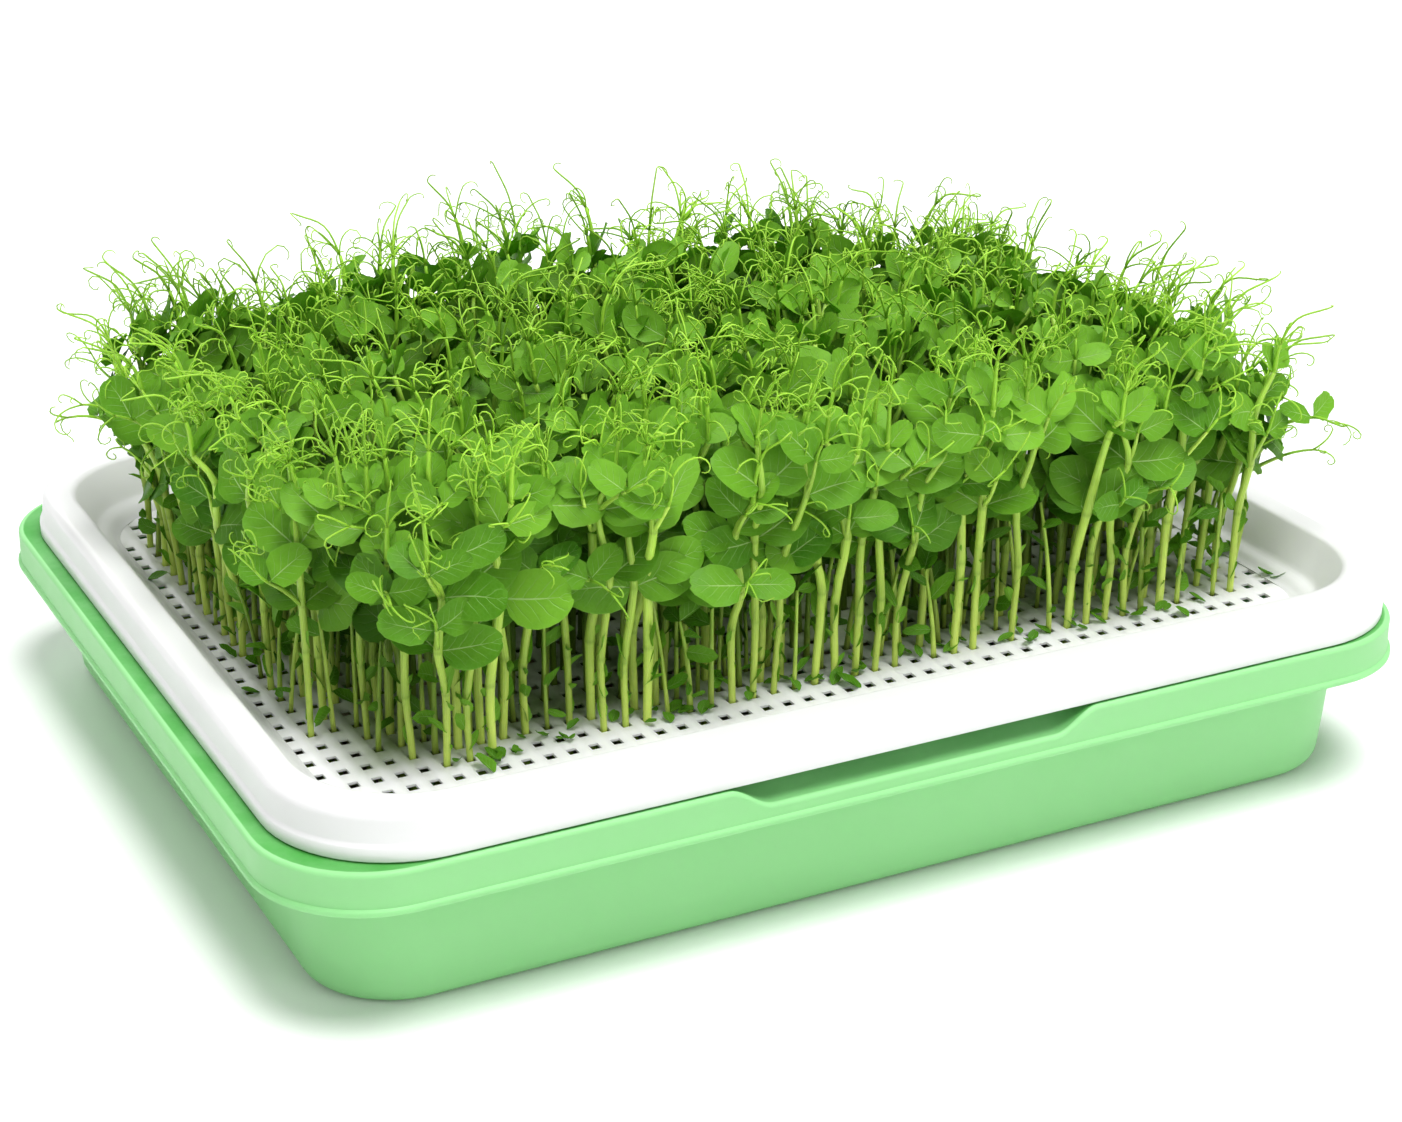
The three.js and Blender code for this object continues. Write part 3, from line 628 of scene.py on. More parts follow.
def plate_grid():
    """The growing tray's plate: raised strips along Y, lower cross bars, and a hole in each mesh.
    Returns points and quads of a closed sheet, and skips what lies outside the plate's outline."""
    half_x = RIM_LENGTH / 2 - PLATE_INSET - PLATE_GAP
    half_y = RIM_WIDTH / 2 - PLATE_INSET - PLATE_GAP
    corner = RIM_CORNER - CORNER_EASE * PLATE_INSET

    def lines(count, pitch, hole, half):
        middles = (np.arange(count) - (count - 1) / 2) * pitch
        offsets = np.array([-hole / 2 - HOLE_EDGE, -hole / 2, hole / 2, hole / 2 + HOLE_EDGE])
        inner = (middles[:, None] + offsets).ravel()
        ends = np.array([half, (half + inner[-1]) / 2])
        return np.concatenate([-ends, inner, ends[::-1]])

    x_line = lines(HOLE_COLUMNS, HOLE_PITCH_X, HOLE_X, half_x)
    y_line = lines(HOLE_ROWS, HOLE_PITCH_Y, HOLE_Y, half_y)
    nx, ny = len(x_line), len(y_line)
    gx, gy = np.meshgrid(x_line, y_line, indexing="ij")

    def past_corner(x, y):
        """How far a place lies past the middle of the corner's rounding, along X and Y."""
        return np.maximum(np.abs(x) - (half_x - corner), 0), np.maximum(np.abs(y) - (half_y - corner), 0)

    # A mesh keeps its hole only where the whole hole lies inside the border.
    columns = np.arange(HOLE_COLUMNS) * 4 + 2
    rows = np.arange(HOLE_ROWS) * 4 + 2
    hole_x = x_line[columns] + HOLE_EDGE + HOLE_X / 2
    hole_y = y_line[rows] + HOLE_EDGE + HOLE_Y / 2
    cx, cy = np.meshgrid(hole_x, hole_y, indexing="ij")
    far = past_corner(cx + np.sign(cx) * HOLE_X / 2, cy + np.sign(cy) * HOLE_Y / 2)
    open_hole = np.hypot(*far) <= corner - PLATE_BORDER
    z = np.full(gx.shape, float(PLATE_TOP))
    is_hole = np.zeros((nx - 1, ny - 1), bool)
    for i, j in zip(*np.nonzero(open_hole)):
        column, row = columns[i], rows[j]
        z[column + 1:column + 3, row + 1:row + 3] -= BAR_DROP
        z[column + 1:column + 3, [row, row + 3]] -= 0.75 * BAR_DROP
        z[[column, column + 3], row + 1:row + 3] -= STRIP_SAG
        is_hole[column + 1, row + 1] = True

    # What lies outside the rounded outline is drawn in to it.
    dx, dy = past_corner(gx, gy)
    reach = np.hypot(dx, dy)
    shrink = np.where(reach > corner, corner / np.maximum(reach, 1e-9), 1.0)
    px = np.sign(gx) * (np.minimum(np.abs(gx), half_x - corner) + dx * shrink)
    py = np.sign(gy) * (np.minimum(np.abs(gy), half_y - corner) + dy * shrink)
    outer = reach > corner + 1e-9

    top = np.stack([px, py, z], axis=-1).reshape(-1, 3)
    bottom = top.copy()
    bottom[:, 2] = PLATE_TOP - PLATE_THIN
    cells = cells_of(np.arange(nx * ny).reshape(nx, ny))
    a, b, c, d = np.moveaxis(cells, -1, 0)
    cell_out = outer[:-1, :-1] & outer[1:, :-1] & outer[1:, 1:] & outer[:-1, 1:]
    solid = ~(cell_out | is_hole)
    count = len(top)
    quads = [cells[solid], cells[solid][:, ::-1] + count]

    # Walls stand on every edge between a solid cell and an open or missing one.
    padded = np.zeros((nx + 1, ny + 1), bool)
    padded[1:nx, 1:ny] = solid
    for step_x, step_y, first, second in ((1, 0, b, c), (-1, 0, d, a), (0, 1, c, d), (0, -1, a, b)):
        open_edge = solid & ~padded[1 + step_x:nx + step_x, 1 + step_y:ny + step_y]
        p, q = first[open_edge], second[open_edge]
        quads.append(np.stack([q, p, p + count, q + count], axis=-1))
    points = np.concatenate([top, bottom])
    # The plate's tint: R lightens the whole plate as painted light; B, stronger further inside the
    # planting, is a plant stain and painted shade under the shoots.
    depth = np.minimum(OUTER_COLUMN - np.abs(points[:, 0]), OUTER_ROW - np.abs(points[:, 1]))
    stain_and_painted_light = PLATE_STAIN_AND_SHADE * np.clip((depth + 1) / 17, 0, 1)
    return points, np.concatenate(quads), np.c_[1 + 0 * stain_and_painted_light, 0 * stain_and_painted_light, stain_and_painted_light]


def grow_tray():
    skirt_foot = WATER_RIM_TOP + FIT
    inner = GROW_RIM_BREADTH
    bead_top = skirt_foot + GROW_BEAD_HEIGHT
    profile = [(PLATE_INSET + 2.4, PLATE_TOP - PLATE_THIN)]
    profile += [(PLATE_INSET - 1.5 * WALL, PLATE_TOP - WALL)]
    profile += [(inner - 1.1 * WALL, GROW_RIM_TOP - 1.2 * WALL)]
    profile += [(1.8 * WALL, GROW_RIM_TOP - 1.2 * WALL), (WALL, skirt_foot + 0.3)]
    profile += [(WALL - 0.3, skirt_foot), (0.4, skirt_foot)]
    profile += arc((0.4, skirt_foot + 0.4), 0.4, 240, 180, 3)
    profile += [(0, bead_top - 0.4)]
    profile += [(0.2, bead_top), (GROW_BEAD_PROUD - 0.1, bead_top + 0.5)]
    profile += [(GROW_BEAD_PROUD, bead_top + 1), (1.2, GROW_RIM_TOP - 3)]
    profile += arc((4.0, GROW_RIM_TOP - 2.8), 2.8, 175, 90, 8)
    profile += [(inner - 2.2, GROW_RIM_TOP)]
    profile += arc((inner - 2.0, GROW_RIM_TOP - 2.0), 2.0, 85, 22, 6)
    profile += [(PLATE_INSET - 4.1, PLATE_TOP + 5.0), (PLATE_INSET - 3.7, PLATE_TOP + 4.1)]
    profile += [(PLATE_INSET - 3.1, PLATE_TOP + 3.4), (PLATE_INSET - 2.3, PLATE_TOP + 2.9)]
    profile += [(PLATE_INSET - 1.2, PLATE_TOP + 2.35), (PLATE_INSET - 0.3, PLATE_TOP + 1.7)]
    profile += [(PLATE_INSET + 0.4, PLATE_TOP + 1.0), (PLATE_INSET + 1.1, PLATE_TOP + 0.45)]
    profile += [(PLATE_INSET + 1.8, PLATE_TOP + 0.15), (PLATE_INSET + 2.6, PLATE_TOP + 0.04)]
    columns = 4 * (CORNER_STEPS + 1)
    rings = [np.c_[tray_outline(inset), np.full(columns, height)] for inset, height in profile]
    here = np.arange(columns)
    after = (here + 1) % columns
    last = (len(rings) - 1) * columns
    close = np.stack([last + here, last + after, after, here], axis=-1)
    quads = np.concatenate([ring_quads(len(rings), columns), close])
    patch = Patchwork()
    patch.add(np.concatenate(rings), quads, 0, tint=(0, 0, 0))
    points, quads, stain_and_painted_light = plate_grid()
    patch.add(points, quads, 0, tint=stain_and_painted_light)
    patch.move(LOOSE_SHIFT)
    return patch.build("grow_tray_shell", [WHITE_PLASTIC], sharp_angle=50)


# ---- Plan of the shoots, drawn as the solids are ----

def grid_line(index, count, outer, pitch):
    return nearest(((2 * index) / (count - 1) - 1) * (outer / pitch)) * pitch


def column_x(column):
    return grid_line(column, COLUMNS, OUTER_COLUMN, HOLE_PITCH_X)


def row_y(row):
    return grid_line(row, ROWS, OUTER_ROW, HOLE_PITCH_Y)


def tallest_at(x, y):
    towards_end = abs(x) / OUTER_COLUMN
    towards_corner = max(x / OUTER_COLUMN + y / OUTER_ROW, 0) / 2
    return SHOOT_HEIGHT + HEIGHT_SPREAD - END_DIP * towards_end ** 4 - CORNER_DIP * towards_corner ** 2


class Shoot:
    """A stem's path with its nodes, leaves and tendril."""

    def __init__(self, x, y, draw, wander=LEAN_SPREAD, drop=0):
        self.draw = draw
        self.x, self.y = x, y
        self.out = vec(x / OUTER_COLUMN, y / OUTER_ROW) ** 3
        self.height = tallest_at(x, y) - HEIGHT_SPREAD * draw() - drop
        lean = self.out * LEAN + vec(spread(draw, wander), spread(draw, wander))
        turn = 2 * math.pi * draw()
        levels = [level + spread(draw, LEVEL_SPREAD) if level < 1 else 1 for level in NODE_LEVELS]
        self.nodes = []
        for k, level in enumerate(levels):
            step = ZIGZAG * level * (1 if k % 2 == 0 else -1)
            self.nodes.append(vec(x + lean[0] * level ** 2 + step * math.cos(turn),
                                  y + lean[1] * level ** 2 + step * math.sin(turn),
                                  PLATE_TOP + self.height * level))
        self.leaves = []
        self.tendril = []
        self.weak = False

    def facing_turn(self):
        turn = 2 * math.pi * self.draw()
        pull = OUTWARD_PULL * self.out + LIGHT_PULL
        return math.atan2(math.sin(turn) + pull[1], math.cos(turn) + pull[0])

    def draw_leaf(self, node, hand):
        up, along = facing_frame(self.facing_turn(), draw_angle(self.draw, LEAF_TILT, LEAF_TILT_SPREAD),
                                 hand * draw_angle(self.draw, LEAF_SWING, LEAF_SWING_SPREAD))
        return {"base": self.nodes[node] + along * LEAF_ROOT, "along": along, "up": up,
                "across": np.cross(up, along), "length": LEAF_LENGTH + LEAF_LENGTH_SPREAD * self.draw()}

    def draw_tendril(self):
        turn = self.facing_turn()
        bend = draw_angle(self.draw, TENDRIL_BEND, TENDRIL_BEND_SPREAD)
        stride = (TENDRIL_LENGTH + TENDRIL_LENGTH_SPREAD * self.draw()) / TENDRIL_STEPS
        path, last = [], self.nodes[-1]
        for step in range(TENDRIL_STEPS):
            rise = math.radians(TENDRIL_RISE) - (bend * step * (step + 1)) / 2
            last = last + stride * direction(turn, rise)
            path.append(last)
        return path


LEAF_SAMPLES = ((0.25, 0), (0.5, -0.6), (0.5, 0), (0.5, 0.6), (0.82, -0.45), (0.82, 0.45), (1, 0))


def leaf_samples(leaf):
    return [leaf["base"] + leaf["along"] * along * leaf["length"]
            + leaf["across"] * across * leaf["length"] * LEAF_BREADTH / 2 for along, across in LEAF_SAMPLES]


def stem_samples(shoot):
    return [shoot.nodes[k] + (shoot.nodes[k + 1] - shoot.nodes[k]) * share
            for k in range(len(shoot.nodes) - 1) for share in (0, 0.25, 0.5, 0.75, 1)]


def solid_shoots():
    """The shoots that the solids have, each at the same place with the same leaves and tendril."""
    shoots = []
    for row in range(ROWS):
        for column in range(COLUMNS):
            if row == 0 and column == 0:
                continue
            draw = random_from(row * COLUMNS + column + 1)
            step_x = nearest(spread(draw, STEP_DRAW)) * HOLE_PITCH_X
            step_y = nearest(spread(draw, STEP_DRAW)) * HOLE_PITCH_Y
            x = min(max(column_x(column) + step_x, -OUTER_COLUMN), OUTER_COLUMN)
            y = min(max(row_y(row) + step_y, -OUTER_ROW), OUTER_ROW)
            shoot = Shoot(x, y, draw)
            shoot.bunch = (row // BUNCH_ROWS, column // BUNCH_COLUMNS)
            shoots.append(shoot)
    stems = [np.array(stem_samples(shoot)) for shoot in shoots]
    taken = np.zeros((0, 3))

    def is_far(samples, others):
        if not len(others):
            return True
        gaps = np.linalg.norm(samples[:, None] - others[None], axis=-1)
        return bool((gaps > CLEARANCE).all())

    def first_clear(owner, draw_piece, samples_of):
        nonlocal taken
        others = np.concatenate([stem for index, stem in enumerate(stems) if index != owner])
        for _ in range(LEAF_TRIES):
            piece = draw_piece()
            samples = np.array(samples_of(piece))
            if is_far(samples, others) and is_far(samples, taken):
                taken = np.concatenate([taken, samples])
                return piece
        return None

    for owner, shoot in enumerate(shoots):
        shoot.tendril = first_clear(owner, shoot.draw_tendril, lambda path: path) or []
    for node in LEAF_NODES:
        for owner, shoot in enumerate(shoots):
            for hand in (-1, 1):
                leaf = first_clear(owner, lambda: shoot.draw_leaf(node, hand), leaf_samples)
                if leaf is not None:
                    shoot.leaves.append(leaf)
    return shoots


def edge_distance(x, y):
    """How far inside the planting's edge a place lies."""
    return min(OUTER_COLUMN - abs(x), OUTER_ROW - abs(y))


def filling_shoots(planted):
    """More shoots in the holes between: in most holes near the edge, and fewer further in."""
    draw = random_from(FILLING_DRAWS)
    holes = [(i * HOLE_PITCH_X, j * HOLE_PITCH_Y) for i in range(-HALF_COLUMNS, HALF_COLUMNS + 1)
             for j in range(-HALF_ROWS, HALF_ROWS + 1)]
    order = sorted(range(len(holes)), key=lambda _: draw())
    places = [vec(shoot.x, shoot.y) for shoot in planted]
    added = []
    for index in order:
        place = vec(*holes[index])
        if OUTER_COLUMN + place[0] + 0.6 * (OUTER_ROW + place[1]) < CORNER_CUT:
            continue
        at_edge = edge_distance(*place) < EDGE_BELT
        gaps = np.linalg.norm(np.array(places) - place, axis=1)
        if gaps.min() < (EDGE_SPACING if at_edge else INNER_SPACING) or (at_edge and draw() > EDGE_FILL):
            continue
        shoot = Shoot(*place, random_from(FILLING_SHOOT_DRAWS + index), FILLING_WANDER, FILLING_DROP)
        shoot.bunch = planted[int(np.argmin(gaps[:len(planted)]))].bunch
        shoot.weak = at_edge and draw() < WEAK_SHARE
        shoot.tendril = shoot.draw_tendril()
        for node in LEAF_NODES if at_edge else LEAF_NODES[:1]:
            for hand in (-1, 1):
                shoot.leaves.append(shoot.draw_leaf(node, hand))
        places.append(place)
        added.append(shoot)
    return added


# ---- Fine shoots ----

def leaf_grid(along_steps, across_steps):
    """A leaf's template: how far along (0 to 1), how far across (-1 to 1) and the half width."""
    turn = np.linspace(0, math.pi, along_steps + 1)
    along = (1 - np.cos(turn)) / 2
    blade = np.clip((along - 0.05) / 0.95, 0, 1)
    width = np.sqrt(np.clip(1 - (2 * blade ** 0.86 - 1) ** 2, 0, 1)) ** 0.88
    width = np.maximum(width, 0.06)
    width[-1] = 0.14
    across = np.linspace(-1, 1, across_steps + 1)
    return along, across, width


LARGE_GRID = leaf_grid(10, 4)
MIDDLE_GRID = leaf_grid(7, 4)
SMALL_GRID = leaf_grid(6, 2)
TINY_GRID = leaf_grid(4, 2)


def light_at(point):
    """How much light a place gets: all of it outside, less between and under the other shoots."""
    low = clamp((STEMS_TOP - point[2]) / STEMS_DEPTH)
    inside = clamp((edge_distance(point[0], point[1]) - 2 - 4 * low) / (15 + 14 * low))
    deep = clamp((CANOPY_TOP - point[2]) / CANOPY_DEPTH)
    return 1 - 0.90 * inside * deep - 0.06 * low


def light_along(path):
    return np.array([light_at(point) for point in path])


def add_leaf(patch, base, frame_of_blade, length, breadth, draw, green, template, curl=0.10, fold=0.16,
             painted_dimming=1):
    """One blade: a closed lens of two sheets that share their edge, cupped, curled and waved."""
    up, along = frame_of_blade
    s, t, width = template
    across = unit(np.cross(up, along))
    ns, nt = len(s), len(t)
    phase = 2 * math.pi * draw()
    waves = 1.0 + 1.1 * draw()
    skew = spread(draw, 0.06)
    ruffle = (0.02 + 0.05 * draw()) * length
    notch = 0.05 * draw()
    curl += spread(draw, 0.14)
    fold += spread(draw, 0.16)
    ss, tt = np.meshgrid(s, t, indexing="ij")
    side = tt * width[:, None] * breadth / 2
    reach = ss * length - notch * length * np.where(ss > 0.999, 1 - np.abs(tt), 0)
    wave = np.sin(phase + waves * math.pi * 2 * ss + 1.6 * np.sign(tt)) * (0.4 + 0.6 * ss)
    lift = fold * np.abs(side) * (1.15 - 0.5 * ss) - curl * length * ss ** 2 + ruffle * tt ** 2 * wave
    side = side + skew * length * np.sin(ss * math.pi)
    top = base + along * reach[..., None] + across * side[..., None] + up * lift[..., None]
    depth = BLADE_THICKNESS * (1 - np.abs(tt) ** 3) * np.sin(np.clip(ss, 0.12, 0.9) * math.pi) ** 0.5
    low = top - up * depth[..., None]
    index = np.arange(ns * nt).reshape(ns, nt)
    under = index.copy()
    inner = np.zeros((ns, nt), bool)
    inner[1:-1, 1:-1] = True
    under[inner] = ns * nt + np.arange(inner.sum())
    points = np.concatenate([top.reshape(-1, 3), low[inner]])
    quads = np.concatenate([cells_of(index).reshape(-1, 4), cells_of(under)[..., ::-1].reshape(-1, 4)])
    uv = np.stack([ss, tt], axis=-1)
    middle = base + along * 0.5 * length
    young = 0.45 * clamp((middle[2] - YOUNG_FROM) / YOUNG_SPAN)
    # G is painted shade: the light at the blade's middle, lowered further for some inner leaves at random
    tint = (clamp(green + young), painted_dimming * light_at(middle), 0)
    patch.add(points, quads, LEAF, np.concatenate([uv.reshape(-1, 2), uv[inner]]), tint)


def add_tube(patch, path, radii, sides, slot, tints):
    """A closed tube through the path's points, with a pointed cap at both ends."""
    path = np.asarray(path, float)
    radii = np.asarray(radii, float)
    ahead = np.gradient(path, axis=0)
    ahead /= np.linalg.norm(ahead, axis=1, keepdims=True)
    side = unit(np.cross(ahead[0], vec(0.31, 0.95, 0.05)))
    rings = []
    turn = np.linspace(0, 2 * math.pi, sides, endpoint=False)
    for k, point in enumerate(path):
        side = unit(side - ahead[k] * np.dot(ahead[k], side))
        third = np.cross(ahead[k], side)
        rings.append(point + radii[k] * (np.cos(turn)[:, None] * side + np.sin(turn)[:, None] * third))
    count = len(path)
    points = np.concatenate(rings + [path[:1], path[-1:]])
    quads = [ring_quads(count, sides)]
    here = np.arange(sides)
    after = (here + 1) % sides
    first, last = count * sides, count * sides + 1
    end = (count - 1) * sides
    quads.append(np.stack([after, here, np.full(sides, first), np.full(sides, first)], axis=-1))
    quads.append(np.stack([end + here, end + after, np.full(sides, last), np.full(sides, last)], axis=-1))
    lengths = np.concatenate([[0], np.cumsum(np.linalg.norm(np.diff(path, axis=0), axis=1))])
    around = 1 - np.abs(2 * turn / (2 * math.pi) - 1)
    uv = np.stack(np.broadcast_arrays(lengths[:, None] / 100, around[None]), axis=-1).reshape(-1, 2)
    uv = np.concatenate([uv, [[0, 0], [lengths[-1] / 100, 0]]])
    tints = np.concatenate([np.repeat(tints, sides, axis=0), tints[:1], tints[-1:]])
    patch.add(points, np.concatenate(quads), slot, uv, tints)


def smooth_path(corners, shares):
    """A Catmull-Rom curve through the corners, with points at the given shares of every stretch."""
    corners = np.array([2 * corners[0] - corners[1]] + list(corners) + [2 * corners[-1] - corners[-2]])
    path = []
    for k in range(1, len(corners) - 2):
        p0, p1, p2, p3 = corners[k - 1:k + 3]
        for share in shares:
            path.append(0.5 * (2 * p1 + (p2 - p0) * share + (2 * p0 - 5 * p1 + 4 * p2 - p3) * share ** 2
                               + (3 * p1 - p0 - 3 * p2 + p3) * share ** 3))
    path.append(corners[-2])
    return np.array(path)


def stem_path(shoot, full):
    """A stem from its seed to its tip, bending a little at its nodes, and how near a node it is."""
    corners = [vec(shoot.x, shoot.y, height) for height in (MAT_TOP + 2, PLATE_TOP - 1)] + shoot.nodes
    shares, swell = ((0, 0.05, 0.35, 0.65, 0.95), (1, 0.5, 0, 0, 0.2)) if full else ((0, 0.5), (0.6, 0))
    path = smooth_path(corners, shares)
    near = np.append(np.tile(swell, len(corners) - 1), 0)
    return path, np.where(path[:, 2] > PLATE_TOP + 2, near, 0)


def add_stem(patch, shoot, bright, full):
    path, near = stem_path(shoot, full)
    rise = np.clip((path[:, 2] - PLATE_TOP) / shoot.height, 0, 1)
    radii = STEM_RADIUS * np.interp(rise, (0, 0.35, 0.6, 0.85, 1), (0.92, 1.0, 1.08, 0.85, 0.65))
    radii = (radii + 0.16 * near) * (0.8 + 0.3 * bright)
    # G: a random brightness times painted shade from light_along
    tints = np.c_[np.clip(rise * 1.2, 0, 1), (0.64 + 0.36 * bright) * light_along(path), near]
    add_tube(patch, path, radii, STEM_SIDES if full else 5, STEM, tints)


def turned(vector, axis, angle):
    cos, sin = math.cos(angle), math.sin(angle)
    return vector * cos + np.cross(axis, vector) * sin + axis * np.dot(axis, vector) * (1 - cos)


def sprig_path(start, ahead, axis, length, bend, steps):
    """An even bow of a given length and total bend."""
    heading, path = unit(ahead), [start]
    for _ in range(steps):
        heading = turned(heading, axis, bend / steps)
        path.append(path[-1] + heading * length / steps)
    return np.array(path)


def thread_path(start, ahead, axis, length, draw, full):
    """A tendril's thread: a slack arch that closes into a small hook."""
    arch = draw_angle(draw, 12, 62)
    hook = draw_angle(draw, 90, 200)
    radius = 0.9 + 1.5 * draw()
    lean = spread(draw, 0.3)
    bow_steps, hook_steps = (6, 6) if full else (3, 4)
    heading, path = unit(ahead), [start]
    for step in range(bow_steps):
        heading = turned(heading, axis, 2 * arch * (step + 0.5) / bow_steps ** 2)
        path.append(path[-1] + heading * length / bow_steps)
    axis = unit(axis + heading * lean)
    for step in range(hook_steps):
        heading = turned(heading, axis, hook / hook_steps)
        path.append(path[-1] + heading * radius * (1.25 - 0.6 * step / hook_steps) * hook / hook_steps)
    return np.array(path)


def thread_tints(path, bright):
    count = len(path)
    # G: a random brightness times painted shade from light_along
    return np.c_[np.linspace(0, 1, count), (0.62 + 0.38 * bright) * light_along(path), np.zeros(count)]


def add_thread(patch, path, bright, radius=THREAD_RADIUS, tip=THREAD_TIP_RADIUS):
    radii = np.linspace(radius, tip, len(path))
    add_tube(patch, path, radii, 3, TENDRIL, thread_tints(path, bright))


def add_fan(patch, start, ahead, draw, bright, threads, reach, full):
    """Threads that spread from one point like a small fountain."""
    side = unit(np.cross(ahead, vec(0.2, 0.1, 1) if abs(ahead[2]) < 0.9 else vec(1, 0.2, 0)))
    third = np.cross(ahead, side)
    phase = 2 * math.pi * draw()
    for k in range(threads):
        turn = phase + 2 * math.pi * (k + 0.6 * draw()) / threads
        out = side * math.cos(turn) + third * math.sin(turn)
        opening = draw_angle(draw, 12, 36)
        heading = ahead * math.cos(opening) + out * math.sin(opening)
        axis = unit(np.cross(heading, out)) * (1 if draw() < 0.75 else -1)
        length = reach * (0.5 + 0.8 * draw())
        path = thread_path(start, heading, axis, length, draw, full)
        add_thread(patch, path, bright)
        if draw() < (0.35 if full else 0.2):
            fork = path[2]
            forked = unit(unit(path[3] - path[2]) + 0.8 * axis * (1 if draw() < 0.5 else -1))
            add_thread(patch, thread_path(fork, forked, axis, 0.4 * length, draw, False), bright,
                       0.75 * THREAD_RADIUS)


def add_top_tendril(patch, shoot, draw, bright, full):
    """The tendril at a shoot's tip: a stalk, a crown of threads, and one that goes on the farthest."""
    path = smooth_path([shoot.nodes[-1]] + shoot.tendril, (0, 0.25, 0.5, 0.75))
    crown = 4 + int(3 * draw())
    stalk = path[:crown + 1]
    radii = np.linspace(STALK_RADIUS, 0.5, len(stalk)) * (1 if full else 0.85)
    tints = thread_tints(stalk, bright) * (0, 1, 0)
    add_tube(patch, stalk, radii, 4, TENDRIL, tints)
    ahead = unit(path[crown + 1] - path[crown])
    end = unit(path[-1] - path[-2])
    axis = unit(np.cross(end, vec(spread(draw, 1), spread(draw, 1), 0.3)))
    last = thread_path(path[-1], end, axis, 1.5, draw, full)
    add_thread(patch, np.concatenate([path[crown:], last[1:]]), bright, 0.42)
    add_fan(patch, path[crown], ahead, draw, bright, 3, FAN_REACH, full)
    if draw() < 0.4:
        add_fan(patch, path[2], ahead, draw, bright, 2, SMALL_FAN_REACH, full)


def add_tip_leaves(patch, shoot, draw, green, full):
    """Young leaves at the tip."""
    for hand in (-1, 1):
        blade = facing_frame(shoot.facing_turn(), draw_angle(draw, 5, 30), hand * draw_angle(draw, 8, 50))
        length = TIP_LEAF_LENGTH + TIP_LEAF_LENGTH_SPREAD * draw()
        add_leaf(patch, shoot.nodes[-1] + blade[1] * 0.5, blade, length, length * (0.52 + 0.24 * draw()),
                 draw, green + 0.15 + 0.2 * draw(), MIDDLE_GRID if full else SMALL_GRID,
                 fold=0.2 + 0.6 * draw())


# Each scale leaf's place, as a share of the way to the lowest node, and its size.
SCALE_LEAVES = ((1.0, 8.5), (0.72, 7.0), (0.42, 7.5), (0.12, 6.0))


def add_scale_leaves(patch, shoot, draw):
    """Small curled scale leaves, low on the stem."""
    foot = vec(shoot.x, shoot.y, PLATE_TOP)
    for share, size in SCALE_LEAVES:
        base = foot + (shoot.nodes[0] - foot) * share
        blade = facing_frame(2 * math.pi * draw(), draw_angle(draw, 5, 30), spread_angle(draw, 35))
        length = size * (0.6 + 0.6 * draw())
        add_leaf(patch, base + blade[0] * 0.9, blade, length, (0.26 + 0.26 * draw()) * length, draw,
                 0.55 + 0.6 * draw(), TINY_GRID, curl=0.1 + spread(draw, 0.4), fold=0.5)


def add_weak_shoot(patch, shoot, draw, bright):
    """A short, thin shoot in its neighbours' shade, with small dark leaves."""
    facing = 2 * math.pi * draw()
    out = vec(math.cos(facing), math.sin(facing), 0)
    start = vec(shoot.x, shoot.y, PLATE_TOP - 1.5)
    height = WEAK_HEIGHT + WEAK_HEIGHT_SPREAD * draw()
    path = sprig_path(start, vec(0, 0, 1) + out * spread(draw, 0.10), unit(np.cross(out, vec(0, 0, 1))),
                      height, spread_angle(draw, 18), 6)
    near_node = (0, 0.1, 0.8, 0.1, 0.8, 0.1, 0.5)
    # darker than the other stems: a random tone times stronger painted shade
    tints = np.c_[np.linspace(0, 0.8, 7), (0.3 + 0.6 * bright) * light_along(path), near_node]
    radii = np.linspace(0.62 + 0.4 * draw(), 0.45, 7)
    add_tube(patch, path, radii, 5, STEM, tints)
    for k in (1, 2, 4, 5, 6, 6):
        blade = facing_frame(2 * math.pi * draw(), draw_angle(draw, 5, 55), spread_angle(draw, 100))
        length = (4.5 if k < 4 else 6.5) + 4 * draw()
        add_leaf(patch, path[k] + blade[1] * 0.3, blade, length, (0.38 + 0.34 * draw()) * length, draw,
                 0.1 + 0.6 * draw(), TINY_GRID, fold=0.2 + 0.6 * draw())


def add_side_shoot(patch, shoot, node, draw, bright, green, full):
    """A leaf stalk from a node, with a pair of leaflets part of the way out and a fan of threads."""
    turn = shoot.facing_turn()
    ahead, level = direction(turn, draw_angle(draw, 35, 38)), level_across(turn)
    length = SIDE_STALK_LENGTH + SIDE_STALK_LENGTH_SPREAD * draw()
    stalk = sprig_path(shoot.nodes[node], ahead, level, length, spread_angle(draw, 25), 3)
    # G: a random brightness times painted shade
    tints = np.c_[np.full(4, 0.9), (0.5 + 0.5 * bright) * light_along(stalk), np.zeros(4)]
    add_tube(patch, stalk, np.linspace(0.75, 0.5, 4), 5 if full else 4, STEM, tints)
    end, heading = stalk[-1], unit(stalk[-1] - stalk[-2])
    for hand in (-1, 1):
        blade = facing_frame(shoot.facing_turn(), draw_angle(draw, 5, 45), hand * draw_angle(draw, 30, 55))
        size = SIDE_LEAF_LENGTH + SIDE_LEAF_LENGTH_SPREAD * draw()
        add_leaf(patch, end + blade[1] * 0.3, blade, size, size * (0.66 + 0.16 * draw()), draw,
                 green + spread(draw, 0.2), MIDDLE_GRID if full else SMALL_GRID)
    bow = sprig_path(end, heading, level, 4 + 6 * draw(), spread_angle(draw, 40), 3)
    add_thread(patch, bow, bright, 0.5, 0.38)
    add_fan(patch, bow[-1], unit(bow[-1] - bow[-2]), draw, bright, 2, SMALL_FAN_REACH, full)


